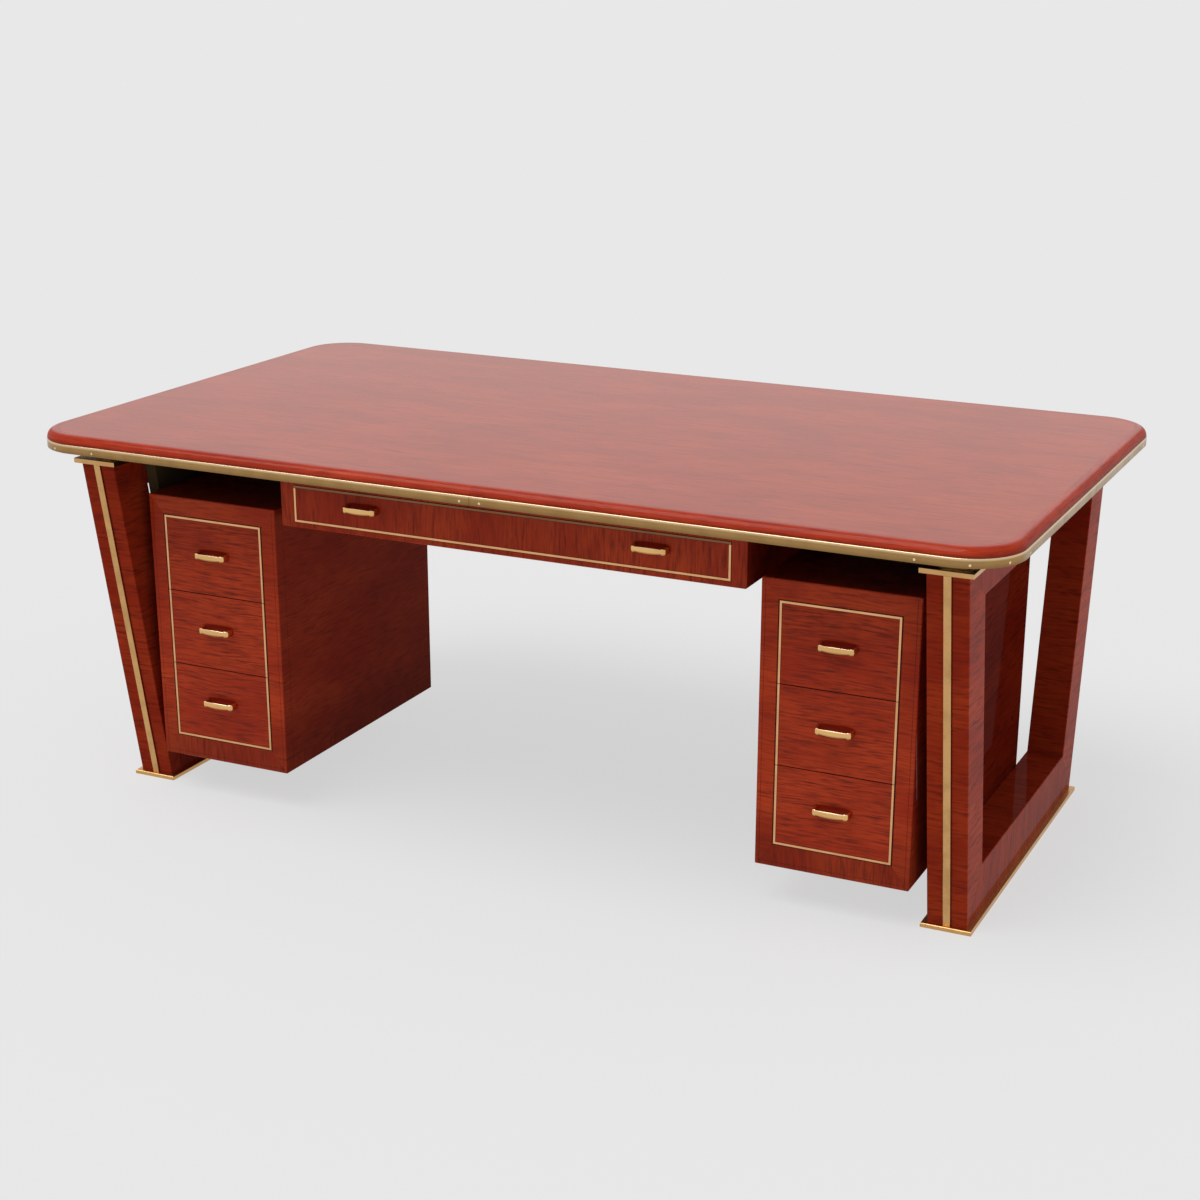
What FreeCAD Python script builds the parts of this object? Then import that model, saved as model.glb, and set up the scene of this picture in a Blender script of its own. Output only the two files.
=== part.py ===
import FreeCAD, Part
import math
import os

from FreeCAD import Vector

# Pedestal desk, in millimetres. X runs along the desk, Y to the back and Z up.
# The origin is on the floor, under the middle of the desktop.

# Desktop
HEIGHT = 760.0
TOP_LENGTH = 1960.0
TOP_DEPTH = 1100.0
TOP_THICKNESS = 34.0
TOP_CORNER_RADIUS = 105.0
LIPPING_WIDTH = 24.0
ROLL_RADIUS = 16.0

# Brass band round the lower half of the desktop's edge, in two lengths
BAND_HEIGHT = 17.0
BAND_THICKNESS = 4.0
BAND_PROUD = 1.0
BAND_EASING = 1.5
BAND_JOINT = 0.6

# Side frames: closed trapeziums that widen upwards, with brass plates under and over them, and a riser
# that keeps the desktop clear of each upper plate
FRAME_INSET = 83.0
FRAME_THICKNESS = 75.0
FRAME_HEAD_SETBACK = 64.0
FRAME_FOOT_SETBACK = 180.0
POST_DEPTH = 94.0
BOTTOM_RAIL_HEIGHT = 97.0
TOP_RAIL_HEIGHT = 58.0
FRAME_EASING = 2.0
FOOT_PLATE_THICKNESS = 8.0
TOP_PLATE_THICKNESS = 10.0
PLATE_OVERHANG = 10.0
PLATE_EASING = 1.0
RISER_HEIGHT = 22.0
RISER_INSET = 20.0
STRIP_WIDTH = 14.0
STRIP_PROUD = 4.0
STRIP_DEPTH = 3.0
STRIP_EASING = 1.2

# Pedestals, hung under the desktop on blocks, and cheeks that fill the space between them and the frames
PEDESTAL_WIDTH = 294.0
PEDESTAL_DEPTH = 575.0
PEDESTAL_SETBACK = 136.0
PEDESTAL_FRAME_GAP = 24.0
PEDESTAL_FLOOR_GAP = 80.0
PEDESTAL_SIDE = 34.0
PEDESTAL_TOP = 38.0
PEDESTAL_BOTTOM = 44.0
PEDESTAL_BACK = 15.0
PEDESTAL_EASING = 1.5
HANGER_HEIGHT = 100.0
HANGER_LENGTH = 180.0
HANGER_WIDTH = 40.0
HANGER_SETBACK = 206.0
CHEEK_SETBACK = 22.0
CHEEK_OVERREACH = 50.0

# Centre box under the desktop
CENTRE_GAP = 24.0
CENTRE_SETBACK = 125.0
CENTRE_DEPTH = 430.0
CENTRE_HEIGHT = 124.5
CENTRE_SIDE = 29.0
CENTRE_BOTTOM = 10.0
CENTRE_TOP_RAIL = 41.0
CENTRE_TOP_RAIL_DEPTH = 60.0
CENTRE_BACK = 18.0

# Drawers
PEDESTAL_DRAWERS = ("lower", "middle", "upper")
DRAWER_GAP = 1.2
FRONT_THICKNESS = 20.0
TRIM_WIDTH = 4.0
TRIM_DEPTH = 5.0
TRIM_PROUD = 0.6
TRAY_SIDE = 14.0
TRAY_BACK = 12.0
TRAY_FLOOR = 6.0
TRAY_LOW_GAP = 6.0
TRAY_TOP_GAP = 20.0
TRAY_REAR_GAP = 16.0
RUNNER_HEIGHT = 16.0
GROOVE_DEPTH = 7.0
GROOVE_STOP = 24.0

# Bow handles
HANDLE_LENGTH = 70.0
HANDLE_PROJECTION = 22.0
HANDLE_BOW = 3.0
HANDLE_BAR_HEIGHT = 12.0
HANDLE_BAR_THICKNESS = 5.0
HANDLE_LEG_WIDTH = 7.0
HANDLE_LEG_HEIGHT = 13.0
HANDLE_EASING = 1.6
HANDLE_LEG_EASING = 1.6
HANDLE_RISE = 6.0
CENTRE_HANDLE_SPREAD = 596.0

# Bolts up into the desktop
BOLT_RADIUS = 4.0
BOLT_HEAD_RADIUS = 7.0
BOLT_HEAD_HEIGHT = 5.5
BOLT_RECESS = 10.0
BOLT_RECESS_RADIUS = 9.0
BOLT_BITE = 22.0
FRAME_BOLT_SPACING = 500.0

# Clearances
LIPPING_FIT = 0.05
BAND_FIT = 0.1
BOLT_FIT = 0.2
RUNNER_FIT = 0.3
RUNNER_END_FIT = 0.8
TRAY_SIDE_GAP = 2.0

# Levels and places that follow from the sizes above
UNDERSIDE_Z = HEIGHT - TOP_THICKNESS
BAND_TOP_Z = UNDERSIDE_Z + BAND_HEIGHT
FRAME_FOOT_Z = FOOT_PLATE_THICKNESS
TOP_PLATE_HIGH_Z = UNDERSIDE_Z - RISER_HEIGHT
FRAME_HEAD_Z = TOP_PLATE_HIGH_Z - TOP_PLATE_THICKNESS
FRAME_OUTER_X = TOP_LENGTH / 2 - FRAME_INSET
FRAME_INNER_X = FRAME_OUTER_X - FRAME_THICKNESS
FRAME_FOOT_HALF = TOP_DEPTH / 2 - FRAME_FOOT_SETBACK
FRAME_HEAD_HALF = TOP_DEPTH / 2 - FRAME_HEAD_SETBACK
PEDESTAL_OUTER_X = FRAME_INNER_X - PEDESTAL_FRAME_GAP
PEDESTAL_INNER_X = PEDESTAL_OUTER_X - PEDESTAL_WIDTH
PEDESTAL_FRONT_Y = PEDESTAL_SETBACK - TOP_DEPTH / 2
PEDESTAL_REAR_Y = PEDESTAL_FRONT_Y + PEDESTAL_DEPTH
PEDESTAL_LOW_Z = PEDESTAL_FLOOR_GAP
PEDESTAL_HIGH_Z = UNDERSIDE_Z - HANGER_HEIGHT
CENTRE_HALF = PEDESTAL_INNER_X - CENTRE_GAP
CENTRE_FRONT_Y = CENTRE_SETBACK - TOP_DEPTH / 2
CENTRE_REAR_Y = CENTRE_FRONT_Y + CENTRE_DEPTH
CENTRE_LOW_Z = UNDERSIDE_Z - CENTRE_HEIGHT

SIDES = (("left", -1), ("right", 1))
ALONG_X = Vector(1, 0, 0)
ALONG_Y = Vector(0, 1, 0)
ALONG_Z = Vector(0, 0, 1)


def save(name, *solids):
    shape = solids[0] if len(solids) == 1 else Part.makeCompound(list(solids))
    shape.exportStep("parts/" + name + ".step")


def box(x0, x1, y0, y1, z0, z1):
    return Part.makeBox(x1 - x0, y1 - y0, z1 - z0, Vector(x0, y0, z0))


def prism(points, sweep):
    return Part.Face(Part.makePolygon(points + points[:1])).extrude(sweep)


def cylinder(radius, start, axis, length):
    return Part.makeCylinder(radius, length, start, axis)


def edges_along(shape, direction):
    unit = Vector(direction).normalize()
    straight = [edge for edge in shape.Edges if edge.Curve.TypeId == "Part::GeomLine"]
    return [edge for edge in straight if abs(edge.tangentAt(edge.FirstParameter).dot(unit)) > 0.9999]


def edges_at(shape, axis, level):
    ends = [(edge, [vertex.Point.dot(axis) for vertex in edge.Vertexes]) for edge in shape.Edges]
    return [edge for edge, places in ends if all(abs(place - level) < 0.001 for place in places)]


def eased_box(x0, x1, y0, y1, z0, z1, easing):
    blank = box(x0, x1, y0, y1, z0, z1)
    return blank.makeChamfer(easing, blank.Edges)


def mitred_corners(outer, inner):
    """Quadrilaterals of a four-sided frame whose mitres run from outer to inner corners."""
    following = outer[1:] + outer[:1], inner[1:] + inner[:1]
    return [list(quad) for quad in zip(outer, following[0], following[1], inner)]


def rectangle(x0, x1, z0, z1):
    return [(x0, z0), (x1, z0), (x1, z1), (x0, z1)]


def side_span(side, near, far):
    return tuple(sorted((side * near, side * far)))


# Desktop: veneered field, rolled lipping and brass band

def plan_plate(inset, z0, z1):
    """Plate with the desktop's rounded plan, drawn in by inset all round."""
    half_length = TOP_LENGTH / 2 - inset
    half_depth = TOP_DEPTH / 2 - inset
    blank = box(-half_length, half_length, -half_depth, half_depth, z0, z1)
    return blank.makeFillet(TOP_CORNER_RADIUS - inset, edges_along(blank, ALONG_Z))


def desktop_panel(bolt_places):
    panel = plan_plate(LIPPING_WIDTH + LIPPING_FIT, UNDERSIDE_Z, HEIGHT)
    holes = [bolt_hole(x, y, UNDERSIDE_Z, UNDERSIDE_Z + BOLT_BITE) for x, y in bolt_places]
    return panel.cut(holes)


def desktop_edge():
    roll = plan_plate(BAND_PROUD, BAND_TOP_Z, HEIGHT)
    roll = roll.makeFillet(ROLL_RADIUS, edges_at(roll, ALONG_Z, HEIGHT))
    backing = plan_plate(BAND_THICKNESS + BAND_FIT, UNDERSIDE_Z, BAND_TOP_Z)
    return roll.fuse(backing).cut(plan_plate(LIPPING_WIDTH, UNDERSIDE_Z, HEIGHT))


def edge_band():
    """Both lengths of the band: a flat bar with its upper outer edge taken off."""
    ring = plan_plate(0, UNDERSIDE_Z, BAND_TOP_Z)
    ring = ring.makeChamfer(BAND_EASING, edges_at(ring, ALONG_Z, BAND_TOP_Z))
    ring = ring.cut(plan_plate(BAND_THICKNESS, UNDERSIDE_Z, BAND_TOP_Z))
    saw = box(-BAND_JOINT / 2, BAND_JOINT / 2, -TOP_DEPTH, TOP_DEPTH, UNDERSIDE_Z, BAND_TOP_Z)
    return ring.cut(saw).Solids


# Side frames

def frame_half(z):
    """Half the frame's length at a height: its posts lean outwards."""
    share = (z - FRAME_FOOT_Z) / (FRAME_HEAD_Z - FRAME_FOOT_Z)
    return FRAME_FOOT_HALF + share * (FRAME_HEAD_HALF - FRAME_FOOT_HALF)


def trapezium(z0, z1, inset):
    low = frame_half(z0) - inset
    high = frame_half(z1) - inset
    return [(-low, z0), (low, z0), (high, z1), (-high, z1)]


def frame_members(side, bolt_places):
    """Bottom rail, rear post, top rail and front post, mitred at the corners."""
    x0, x1 = side_span(side, FRAME_INNER_X, FRAME_OUTER_X)
    opening_low = FRAME_FOOT_Z + BOTTOM_RAIL_HEIGHT
    opening_high = FRAME_HEAD_Z - TOP_RAIL_HEIGHT
    outer = trapezium(FRAME_FOOT_Z, FRAME_HEAD_Z, 0)
    inner = trapezium(opening_low, opening_high, POST_DEPTH)
    quads = mitred_corners(outer, inner)
    bars = [prism([Vector(x0, y, z) for y, z in quad], Vector(x1 - x0, 0, 0)) for quad in quads]
    bottom_rail, rear_post, top_rail, front_post = bars
    members = {
        "bottom_rail": bottom_rail.makeFillet(FRAME_EASING, rail_edges(bottom_rail, opening_low)),
        "rear_post": eased_post(rear_post, 1),
        "top_rail": top_rail.makeFillet(FRAME_EASING, rail_edges(top_rail, opening_high)),
        "front_post": eased_post(front_post, -1),
    }
    holes = [recessed_hole(x, y, opening_high, FRAME_HEAD_Z) for x, y in bolt_places]
    grooves = [strip_blank(side, face) for face in (-1, 1)]
    return {name: member.cut(holes + grooves) for name, member in members.items()}


def rail_edges(rail, level):
    at_level = edges_at(rail, ALONG_Z, level)
    return [edge for edge in at_level if abs(edge.tangentAt(edge.FirstParameter).y) > 0.9999]


def post_direction(face):
    return Vector(0, face * (FRAME_HEAD_HALF - FRAME_FOOT_HALF), FRAME_HEAD_Z - FRAME_FOOT_Z)


def eased_post(post, face):
    return post.makeFillet(FRAME_EASING, edges_along(post, post_direction(face)))


def strip_blank(side, face):
    """Square-edged bar let into the middle of a post's outer face and standing proud of it."""
    middle = side * (FRAME_INNER_X + FRAME_OUTER_X) / 2
    lean = math.atan2(FRAME_HEAD_HALF - FRAME_FOOT_HALF, FRAME_HEAD_Z - FRAME_FOOT_Z)
    out = STRIP_PROUD / math.cos(lean)
    inside = STRIP_DEPTH / math.cos(lean)
    foot = frame_half(FRAME_FOOT_Z)
    head = frame_half(FRAME_HEAD_Z)
    outline = [(foot + out, FRAME_FOOT_Z), (head + out, FRAME_HEAD_Z),
               (head - inside, FRAME_HEAD_Z), (foot - inside, FRAME_FOOT_Z)]
    points = [Vector(middle - STRIP_WIDTH / 2, face * y, z) for y, z in outline]
    return prism(points, Vector(STRIP_WIDTH, 0, 0))


def post_strip(side, face):
    blank = strip_blank(side, face)
    long_edges = edges_along(blank, post_direction(face))
    outer_edges = sorted(long_edges, key=lambda edge: abs(edge.CenterOfMass.y))[-2:]
    return blank.makeFillet(STRIP_EASING, outer_edges)


def frame_plate(side, half_length, z0, z1):
    """Brass plate that stands out past the frame all round, with its long arrises taken off."""
    x0, x1 = side_span(side, FRAME_INNER_X - PLATE_OVERHANG, FRAME_OUTER_X + PLATE_OVERHANG)
    reach = half_length + PLATE_OVERHANG
    return box(x0, x1, -reach, reach, z0, z1)


def foot_plate(side):
    plate = frame_plate(side, FRAME_FOOT_HALF, 0, FRAME_FOOT_Z)
    return plate.makeChamfer(PLATE_EASING, edges_at(plate, ALONG_Z, FRAME_FOOT_Z))


def top_plate(side, bolt_places):
    plate = frame_plate(side, FRAME_HEAD_HALF, FRAME_HEAD_Z, TOP_PLATE_HIGH_Z)
    for level in (FRAME_HEAD_Z, TOP_PLATE_HIGH_Z):
        plate = plate.makeChamfer(PLATE_EASING, edges_at(plate, ALONG_Z, level))
    return plate.cut([bolt_hole(x, y, FRAME_HEAD_Z, TOP_PLATE_HIGH_Z) for x, y in bolt_places])


def riser(side, bolt_places):
    """Batten between the upper plate and the desktop, drawn in so that a shadow gap is left round it."""
    x0, x1 = side_span(side, FRAME_INNER_X + RISER_INSET, FRAME_OUTER_X - RISER_INSET)
    reach = FRAME_HEAD_HALF - RISER_INSET
    batten = box(x0, x1, -reach, reach, TOP_PLATE_HIGH_Z, UNDERSIDE_Z)
    return batten.cut([bolt_hole(x, y, TOP_PLATE_HIGH_Z, UNDERSIDE_Z) for x, y in bolt_places])


# Bolts

def bolt(x, y, bearing_z):
    """Hexagon bolt from below: its head bears at bearing_z and its tip bites into the desktop."""
    bearing = Vector(x, y, bearing_z)
    angles = [math.radians(60 * index) for index in range(6)]
    corners = [Vector(math.cos(angle), math.sin(angle), 0) for angle in angles]
    outline = [bearing + corner * BOLT_HEAD_RADIUS for corner in corners]
    head = prism(outline, Vector(0, 0, -BOLT_HEAD_HEIGHT))
    shank = cylinder(BOLT_RADIUS, bearing, ALONG_Z, UNDERSIDE_Z + BOLT_BITE - bearing_z)
    return head.fuse(shank).removeSplitter()


def bolt_hole(x, y, z0, z1):
    return cylinder(BOLT_RADIUS + BOLT_FIT, Vector(x, y, z0), ALONG_Z, z1 - z0)


def recessed_hole(x, y, z0, z1):
    recess = cylinder(BOLT_RECESS_RADIUS, Vector(x, y, z0), ALONG_Z, BOLT_RECESS)
    return bolt_hole(x, y, z0, z1).fuse(recess)


def frame_bolt_places(side):
    middle = side * (FRAME_INNER_X + FRAME_OUTER_X) / 2
    return [(middle, step * FRAME_BOLT_SPACING / 2) for step in (-1, 1)]


def hanger_bolt_places(side):
    return [(pedestal_middle(side), y) for y in hanger_rows()]


# Pedestals

def pedestal_middle(side):
    return side * (PEDESTAL_INNER_X + PEDESTAL_OUTER_X) / 2


def hanger_rows():
    """Where the hanger blocks stand, the same distance from the pedestal's front and back."""
    return (PEDESTAL_FRONT_Y + HANGER_SETBACK, PEDESTAL_REAR_Y - HANGER_SETBACK)


def pedestal_opening(side):
    x0, x1 = side_span(side, PEDESTAL_INNER_X + PEDESTAL_SIDE, PEDESTAL_OUTER_X - PEDESTAL_SIDE)
    return x0, x1, PEDESTAL_LOW_Z + PEDESTAL_BOTTOM, PEDESTAL_HIGH_Z - PEDESTAL_TOP


def pedestal_panels(side, bolt_places):
    """Mitred bottom, two sides and top, with all outer edges eased, and the back set in between them."""
    x0, x1 = side_span(side, PEDESTAL_INNER_X, PEDESTAL_OUTER_X)
    y0, y1 = PEDESTAL_FRONT_Y, PEDESTAL_REAR_Y
    z0, z1 = PEDESTAL_LOW_Z, PEDESTAL_HIGH_Z
    opening = pedestal_opening(side)
    quads = mitred_corners(rectangle(x0, x1, z0, z1), rectangle(*opening))
    shell = eased_box(x0, x1, y0, y1, z0, z1, PEDESTAL_EASING)
    wedges = [prism([Vector(x, y0, z) for x, z in quad], Vector(0, y1 - y0, 0)) for quad in quads]
    bottom, high_side, top, low_side = [wedge.common(shell) for wedge in wedges]
    top = top.cut([bolt_hole(x, y, opening[3], z1) for x, y in bolt_places])
    back = box(opening[0], opening[1], y1 - PEDESTAL_BACK, y1, opening[2], opening[3])
    return {"sides": [low_side, high_side], "top": [top], "bottom": [bottom], "back": [back]}


def cheek(side):
    """Board between a pedestal and its frame, up to the frame's upper plate; its front edge leans with the post."""
    x0, x1 = side_span(side, PEDESTAL_OUTER_X, FRAME_INNER_X)
    head_y = PEDESTAL_FRONT_Y + CHEEK_SETBACK
    foot_y = head_y + frame_half(FRAME_HEAD_Z) - frame_half(PEDESTAL_LOW_Z)
    rear_y = PEDESTAL_REAR_Y + CHEEK_OVERREACH
    outline = [(foot_y, PEDESTAL_LOW_Z), (rear_y, PEDESTAL_LOW_Z), (rear_y, FRAME_HEAD_Z), (head_y, FRAME_HEAD_Z)]
    board = prism([Vector(x0, y, z) for y, z in outline], Vector(x1 - x0, 0, 0))
    return board.makeChamfer(PEDESTAL_EASING, board.Edges)


def hangers(side, bolt_places):
    middle = pedestal_middle(side)
    x0 = middle - HANGER_LENGTH / 2
    x1 = middle + HANGER_LENGTH / 2
    holes = [bolt_hole(x, y, PEDESTAL_HIGH_Z, UNDERSIDE_Z) for x, y in bolt_places]
    blocks = []
    for y in hanger_rows():
        block = box(x0, x1, y - HANGER_WIDTH / 2, y + HANGER_WIDTH / 2, PEDESTAL_HIGH_Z, UNDERSIDE_Z)
        blocks.append(block.cut(holes))
    return blocks


# Centre box

def centre_opening():
    half = CENTRE_HALF - CENTRE_SIDE
    return -half, half, CENTRE_LOW_Z + CENTRE_BOTTOM, UNDERSIDE_Z - CENTRE_TOP_RAIL


def centre_panels():
    """Two full-height sides with a bottom, a back and a front top rail between them."""
    x0, x1, z0, z1 = centre_opening()
    y0, y1 = CENTRE_FRONT_Y, CENTRE_REAR_Y
    low, high = CENTRE_LOW_Z, UNDERSIDE_Z
    shell = eased_box(-CENTRE_HALF, CENTRE_HALF, y0, y1, low, HEIGHT, PEDESTAL_EASING)
    left = box(-CENTRE_HALF, x0, y0, y1, low, high).common(shell)
    right = box(x1, CENTRE_HALF, y0, y1, low, high).common(shell)
    bottom = box(x0, x1, y0, y1, low, z0).common(shell)
    back = box(x0, x1, y1 - CENTRE_BACK, y1, z0, high).common(shell)
    rail = box(x0, x1, y0, y0 + CENTRE_TOP_RAIL_DEPTH, z1, high).common(shell)
    return {"sides": [left, right], "bottom": [bottom], "back": [back], "top_rail": [rail]}


# Drawers

def drawer_rows(z0, z1, count):
    """Heights of the drawer fronts that share an opening, with equal gaps."""
    height = (z1 - z0 - (count + 1) * DRAWER_GAP) / count
    lows = [z0 + DRAWER_GAP + index * (height + DRAWER_GAP) for index in range(count)]
    return [(low, low + height) for low in lows]


def trim_bars(opening, front_y):
    """Four mitred brass lines round the outside of all the fronts in one opening."""
    x0, x1, z0, z1 = opening
    outer = rectangle(x0 + DRAWER_GAP, x1 - DRAWER_GAP, z0 + DRAWER_GAP, z1 - DRAWER_GAP)
    edge = DRAWER_GAP + TRIM_WIDTH
    inner = rectangle(x0 + edge, x1 - edge, z0 + edge, z1 - edge)
    sweep = Vector(0, TRIM_PROUD + TRIM_DEPTH, 0)
    quads = mitred_corners(outer, inner)
    return [prism([Vector(x, front_y - TRIM_PROUD, z) for x, z in quad], sweep) for quad in quads]


def drawer_trim(bars, opening, front_y, row):
    slab = box(opening[0], opening[1], front_y - TRIM_PROUD, front_y + TRIM_DEPTH, row[0], row[1])
    cuts = [bar.common(slab) for bar in bars]
    return [solid for cut in cuts for solid in cut.Solids]


def drawer_front(opening, front_y, row, trim):
    x0 = opening[0] + DRAWER_GAP
    x1 = opening[1] - DRAWER_GAP
    return box(x0, x1, front_y, front_y + FRONT_THICKNESS, row[0], row[1]).cut(trim)


def tray_heights(row):
    return row[0] + TRAY_LOW_GAP, row[1] - TRAY_TOP_GAP


def runner_heights(row):
    low, high = tray_heights(row)
    middle = (low + high) / 2
    return middle - RUNNER_HEIGHT / 2, middle + RUNNER_HEIGHT / 2


def drawer_tray(opening, y0, y1, row):
    """Two grooved sides, a floor between them and a back on the floor."""
    low, high = tray_heights(row)
    x0 = opening[0] + TRAY_SIDE_GAP
    x1 = opening[1] - TRAY_SIDE_GAP
    run_low, run_high = runner_heights(row)
    groove = (y0 + GROOVE_STOP, y1, run_low - RUNNER_FIT, run_high + RUNNER_FIT)
    left = box(x0, x0 + TRAY_SIDE, y0, y1, low, high).cut(box(x0, x0 + GROOVE_DEPTH, *groove))
    right = box(x1 - TRAY_SIDE, x1, y0, y1, low, high).cut(box(x1 - GROOVE_DEPTH, x1, *groove))
    floor = box(x0 + TRAY_SIDE, x1 - TRAY_SIDE, y0, y1, low, low + TRAY_FLOOR)
    back = box(x0 + TRAY_SIDE, x1 - TRAY_SIDE, y1 - TRAY_BACK, y1, low + TRAY_FLOOR, high)
    return [left, right, floor, back]


def runners(opening, y0, y1, row):
    """A pair of battens on the opening's walls that reach into the tray's grooves."""
    reach = TRAY_SIDE_GAP + GROOVE_DEPTH - RUNNER_END_FIT
    span = (y0 + GROOVE_STOP + RUNNER_END_FIT, y1) + runner_heights(row)
    return [box(opening[0], opening[0] + reach, *span), box(opening[1] - reach, opening[1], *span)]


def handle_leg(x, z, front_y, end):
    """Block that stands on the drawer front at one end of the bar, with its edges taken off."""
    x0, x1 = sorted((end * HANDLE_LENGTH / 2, end * (HANDLE_LENGTH / 2 - HANDLE_LEG_WIDTH)))
    tip_y = front_y - HANDLE_PROJECTION + HANDLE_BOW
    half = HANDLE_LEG_HEIGHT / 2
    leg = box(x + x0, x + x1, tip_y, front_y, z - half, z + half)
    return leg.makeChamfer(HANDLE_LEG_EASING, edges_along(leg, ALONG_Y) + edges_at(leg, ALONG_Y, tip_y))


def handle_bar(x, z, front_y):
    """Bar bowed outwards, with its four long edges taken off."""
    half = (HANDLE_LENGTH - HANDLE_LEG_WIDTH) / 2
    low = z - HANDLE_BAR_HEIGHT / 2
    crown_y = front_y - HANDLE_PROJECTION
    end_y = crown_y + HANDLE_BOW + HANDLE_LEG_EASING
    arcs = []
    for depth in (0, HANDLE_BAR_THICKNESS):
        start, stop = [Vector(x + end * half, end_y + depth, low) for end in (-1, 1)]
        arcs.append(Part.Arc(start, Vector(x, crown_y + depth, low), stop).toShape())
    closers = [Part.makeLine(arcs[0].Vertexes[end].Point, arcs[1].Vertexes[end].Point) for end in (0, 1)]
    outline = Part.Wire(Part.__sortEdges__([arcs[0], closers[1], arcs[1], closers[0]]))
    bar = Part.Face(outline).extrude(Vector(0, 0, HANDLE_BAR_HEIGHT))
    bowed = [edge for edge in bar.Edges if edge.Curve.TypeId == "Part::GeomCircle"]
    return bar.makeChamfer(HANDLE_EASING, bowed)


def handle(x, z, front_y):
    legs = [handle_leg(x, z, front_y, end) for end in (-1, 1)]
    return handle_bar(x, z, front_y).fuse(legs).removeSplitter()


def build_drawers(place, opening, front_y, back_y, names, handle_xs):
    """All the drawers of one opening, and the runners that carry them."""
    battens = []
    bars = trim_bars(opening, front_y)
    y0 = front_y + FRONT_THICKNESS
    y1 = back_y - TRAY_REAR_GAP
    for name, row in zip(names, drawer_rows(opening[2], opening[3], len(names))):
        title = "_".join(word for word in (place, name, "drawer") if word)
        trim = drawer_trim(bars, opening, front_y, row)
        middle = (row[0] + row[1]) / 2 + HANDLE_RISE
        save(title + "_front", drawer_front(opening, front_y, row, trim))
        save(title + "_trim", *trim)
        save(title + "_tray", *drawer_tray(opening, y0, y1, row))
        save(title + ("_handle" if len(handle_xs) == 1 else "_handles"),
             *[handle(x, middle, front_y) for x in handle_xs])
        battens += runners(opening, y0, y1, row)
    return battens


def build_desktop(bolt_places):
    save("desktop_panel", desktop_panel(bolt_places))
    save("desktop_edge", desktop_edge())
    save("edge_band", *edge_band())


def build_frame(name, side):
    places = frame_bolt_places(side)
    for member, solid in frame_members(side, places).items():
        save(name + "_" + member, solid)
    save(name + "_foot_plate", foot_plate(side))


def build_pedestal(name, side):
    places = hanger_bolt_places(side)
    for panel, solids in pedestal_panels(side, places).items():
        save(name + "_pedestal_" + panel, *solids)
    back_y = PEDESTAL_REAR_Y - PEDESTAL_BACK
    return build_drawers(name, pedestal_opening(side), PEDESTAL_FRONT_Y, back_y, PEDESTAL_DRAWERS,
                         [pedestal_middle(side)])


def build_centre_box():
    for panel, solids in centre_panels().items():
        save("centre_box_" + panel, *solids)
    half_spread = CENTRE_HANDLE_SPREAD / 2
    return build_drawers("centre", centre_opening(), CENTRE_FRONT_Y, CENTRE_REAR_Y - CENTRE_BACK, ("",),
                         [-half_spread, half_spread])


def build_desk():
    os.makedirs("parts", exist_ok=True)
    battens = build_centre_box()
    upper_plates = []
    raised_battens = []
    boards = []
    strips = []
    bolts = []
    blocks = []
    bolt_places = []
    for name, side in SIDES:
        frame_places = frame_bolt_places(side)
        hanger_places = hanger_bolt_places(side)
        build_frame(name, side)
        battens += build_pedestal(name, side)
        upper_plates.append(top_plate(side, frame_places))
        raised_battens.append(riser(side, frame_places))
        boards.append(cheek(side))
        strips += [post_strip(side, face) for face in (-1, 1)]
        blocks += hangers(side, hanger_places)
        bolts += [bolt(x, y, FRAME_HEAD_Z - TOP_RAIL_HEIGHT + BOLT_RECESS) for x, y in frame_places]
        bolts += [bolt(x, y, PEDESTAL_HIGH_Z - PEDESTAL_TOP) for x, y in hanger_places]
        bolt_places += frame_places + hanger_places
    build_desktop(bolt_places)
    save("top_plates", *upper_plates)
    save("risers", *raised_battens)
    save("cheeks", *boards)
    save("post_strips", *strips)
    save("pedestal_hangers", *blocks)
    save("drawer_runners", *battens)
    save("mounting_bolts", *bolts)


build_desk()
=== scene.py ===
# %% [markdown]
# # A lacquered pedestal desk, dressed from its CAD frame
#
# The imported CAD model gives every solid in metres, with the floor at z = 0, the
# drawers facing -Y and the desk's length along X. Most solids are already the right
# shape, so they keep their meshes and only get a finish. The pieces whose surface
# needs more than flat facets (the rolled edge, the brass band, its pins and the
# bow handles) are worked out again here as smooth surfaces.

import math

import bmesh
import bpy
import numpy as np
from mathutils import Matrix, Vector


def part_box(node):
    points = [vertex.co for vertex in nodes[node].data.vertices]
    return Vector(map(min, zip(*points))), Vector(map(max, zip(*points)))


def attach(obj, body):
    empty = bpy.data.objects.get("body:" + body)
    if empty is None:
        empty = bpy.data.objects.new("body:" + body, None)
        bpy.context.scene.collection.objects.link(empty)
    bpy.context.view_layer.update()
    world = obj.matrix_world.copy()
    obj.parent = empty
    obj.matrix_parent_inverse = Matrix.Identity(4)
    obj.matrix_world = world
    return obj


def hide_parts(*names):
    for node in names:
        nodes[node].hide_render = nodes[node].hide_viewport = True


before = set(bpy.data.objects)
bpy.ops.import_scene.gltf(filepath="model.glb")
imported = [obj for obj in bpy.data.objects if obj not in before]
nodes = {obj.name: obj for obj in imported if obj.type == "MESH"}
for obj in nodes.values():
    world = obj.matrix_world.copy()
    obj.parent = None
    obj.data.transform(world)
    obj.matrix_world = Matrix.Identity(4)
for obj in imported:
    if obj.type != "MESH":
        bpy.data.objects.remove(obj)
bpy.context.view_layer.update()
MM = 0.001


def add_object(name, data):
    thing = bpy.data.objects.new(name, data)
    bpy.context.scene.collection.objects.link(thing)
    return thing


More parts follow.
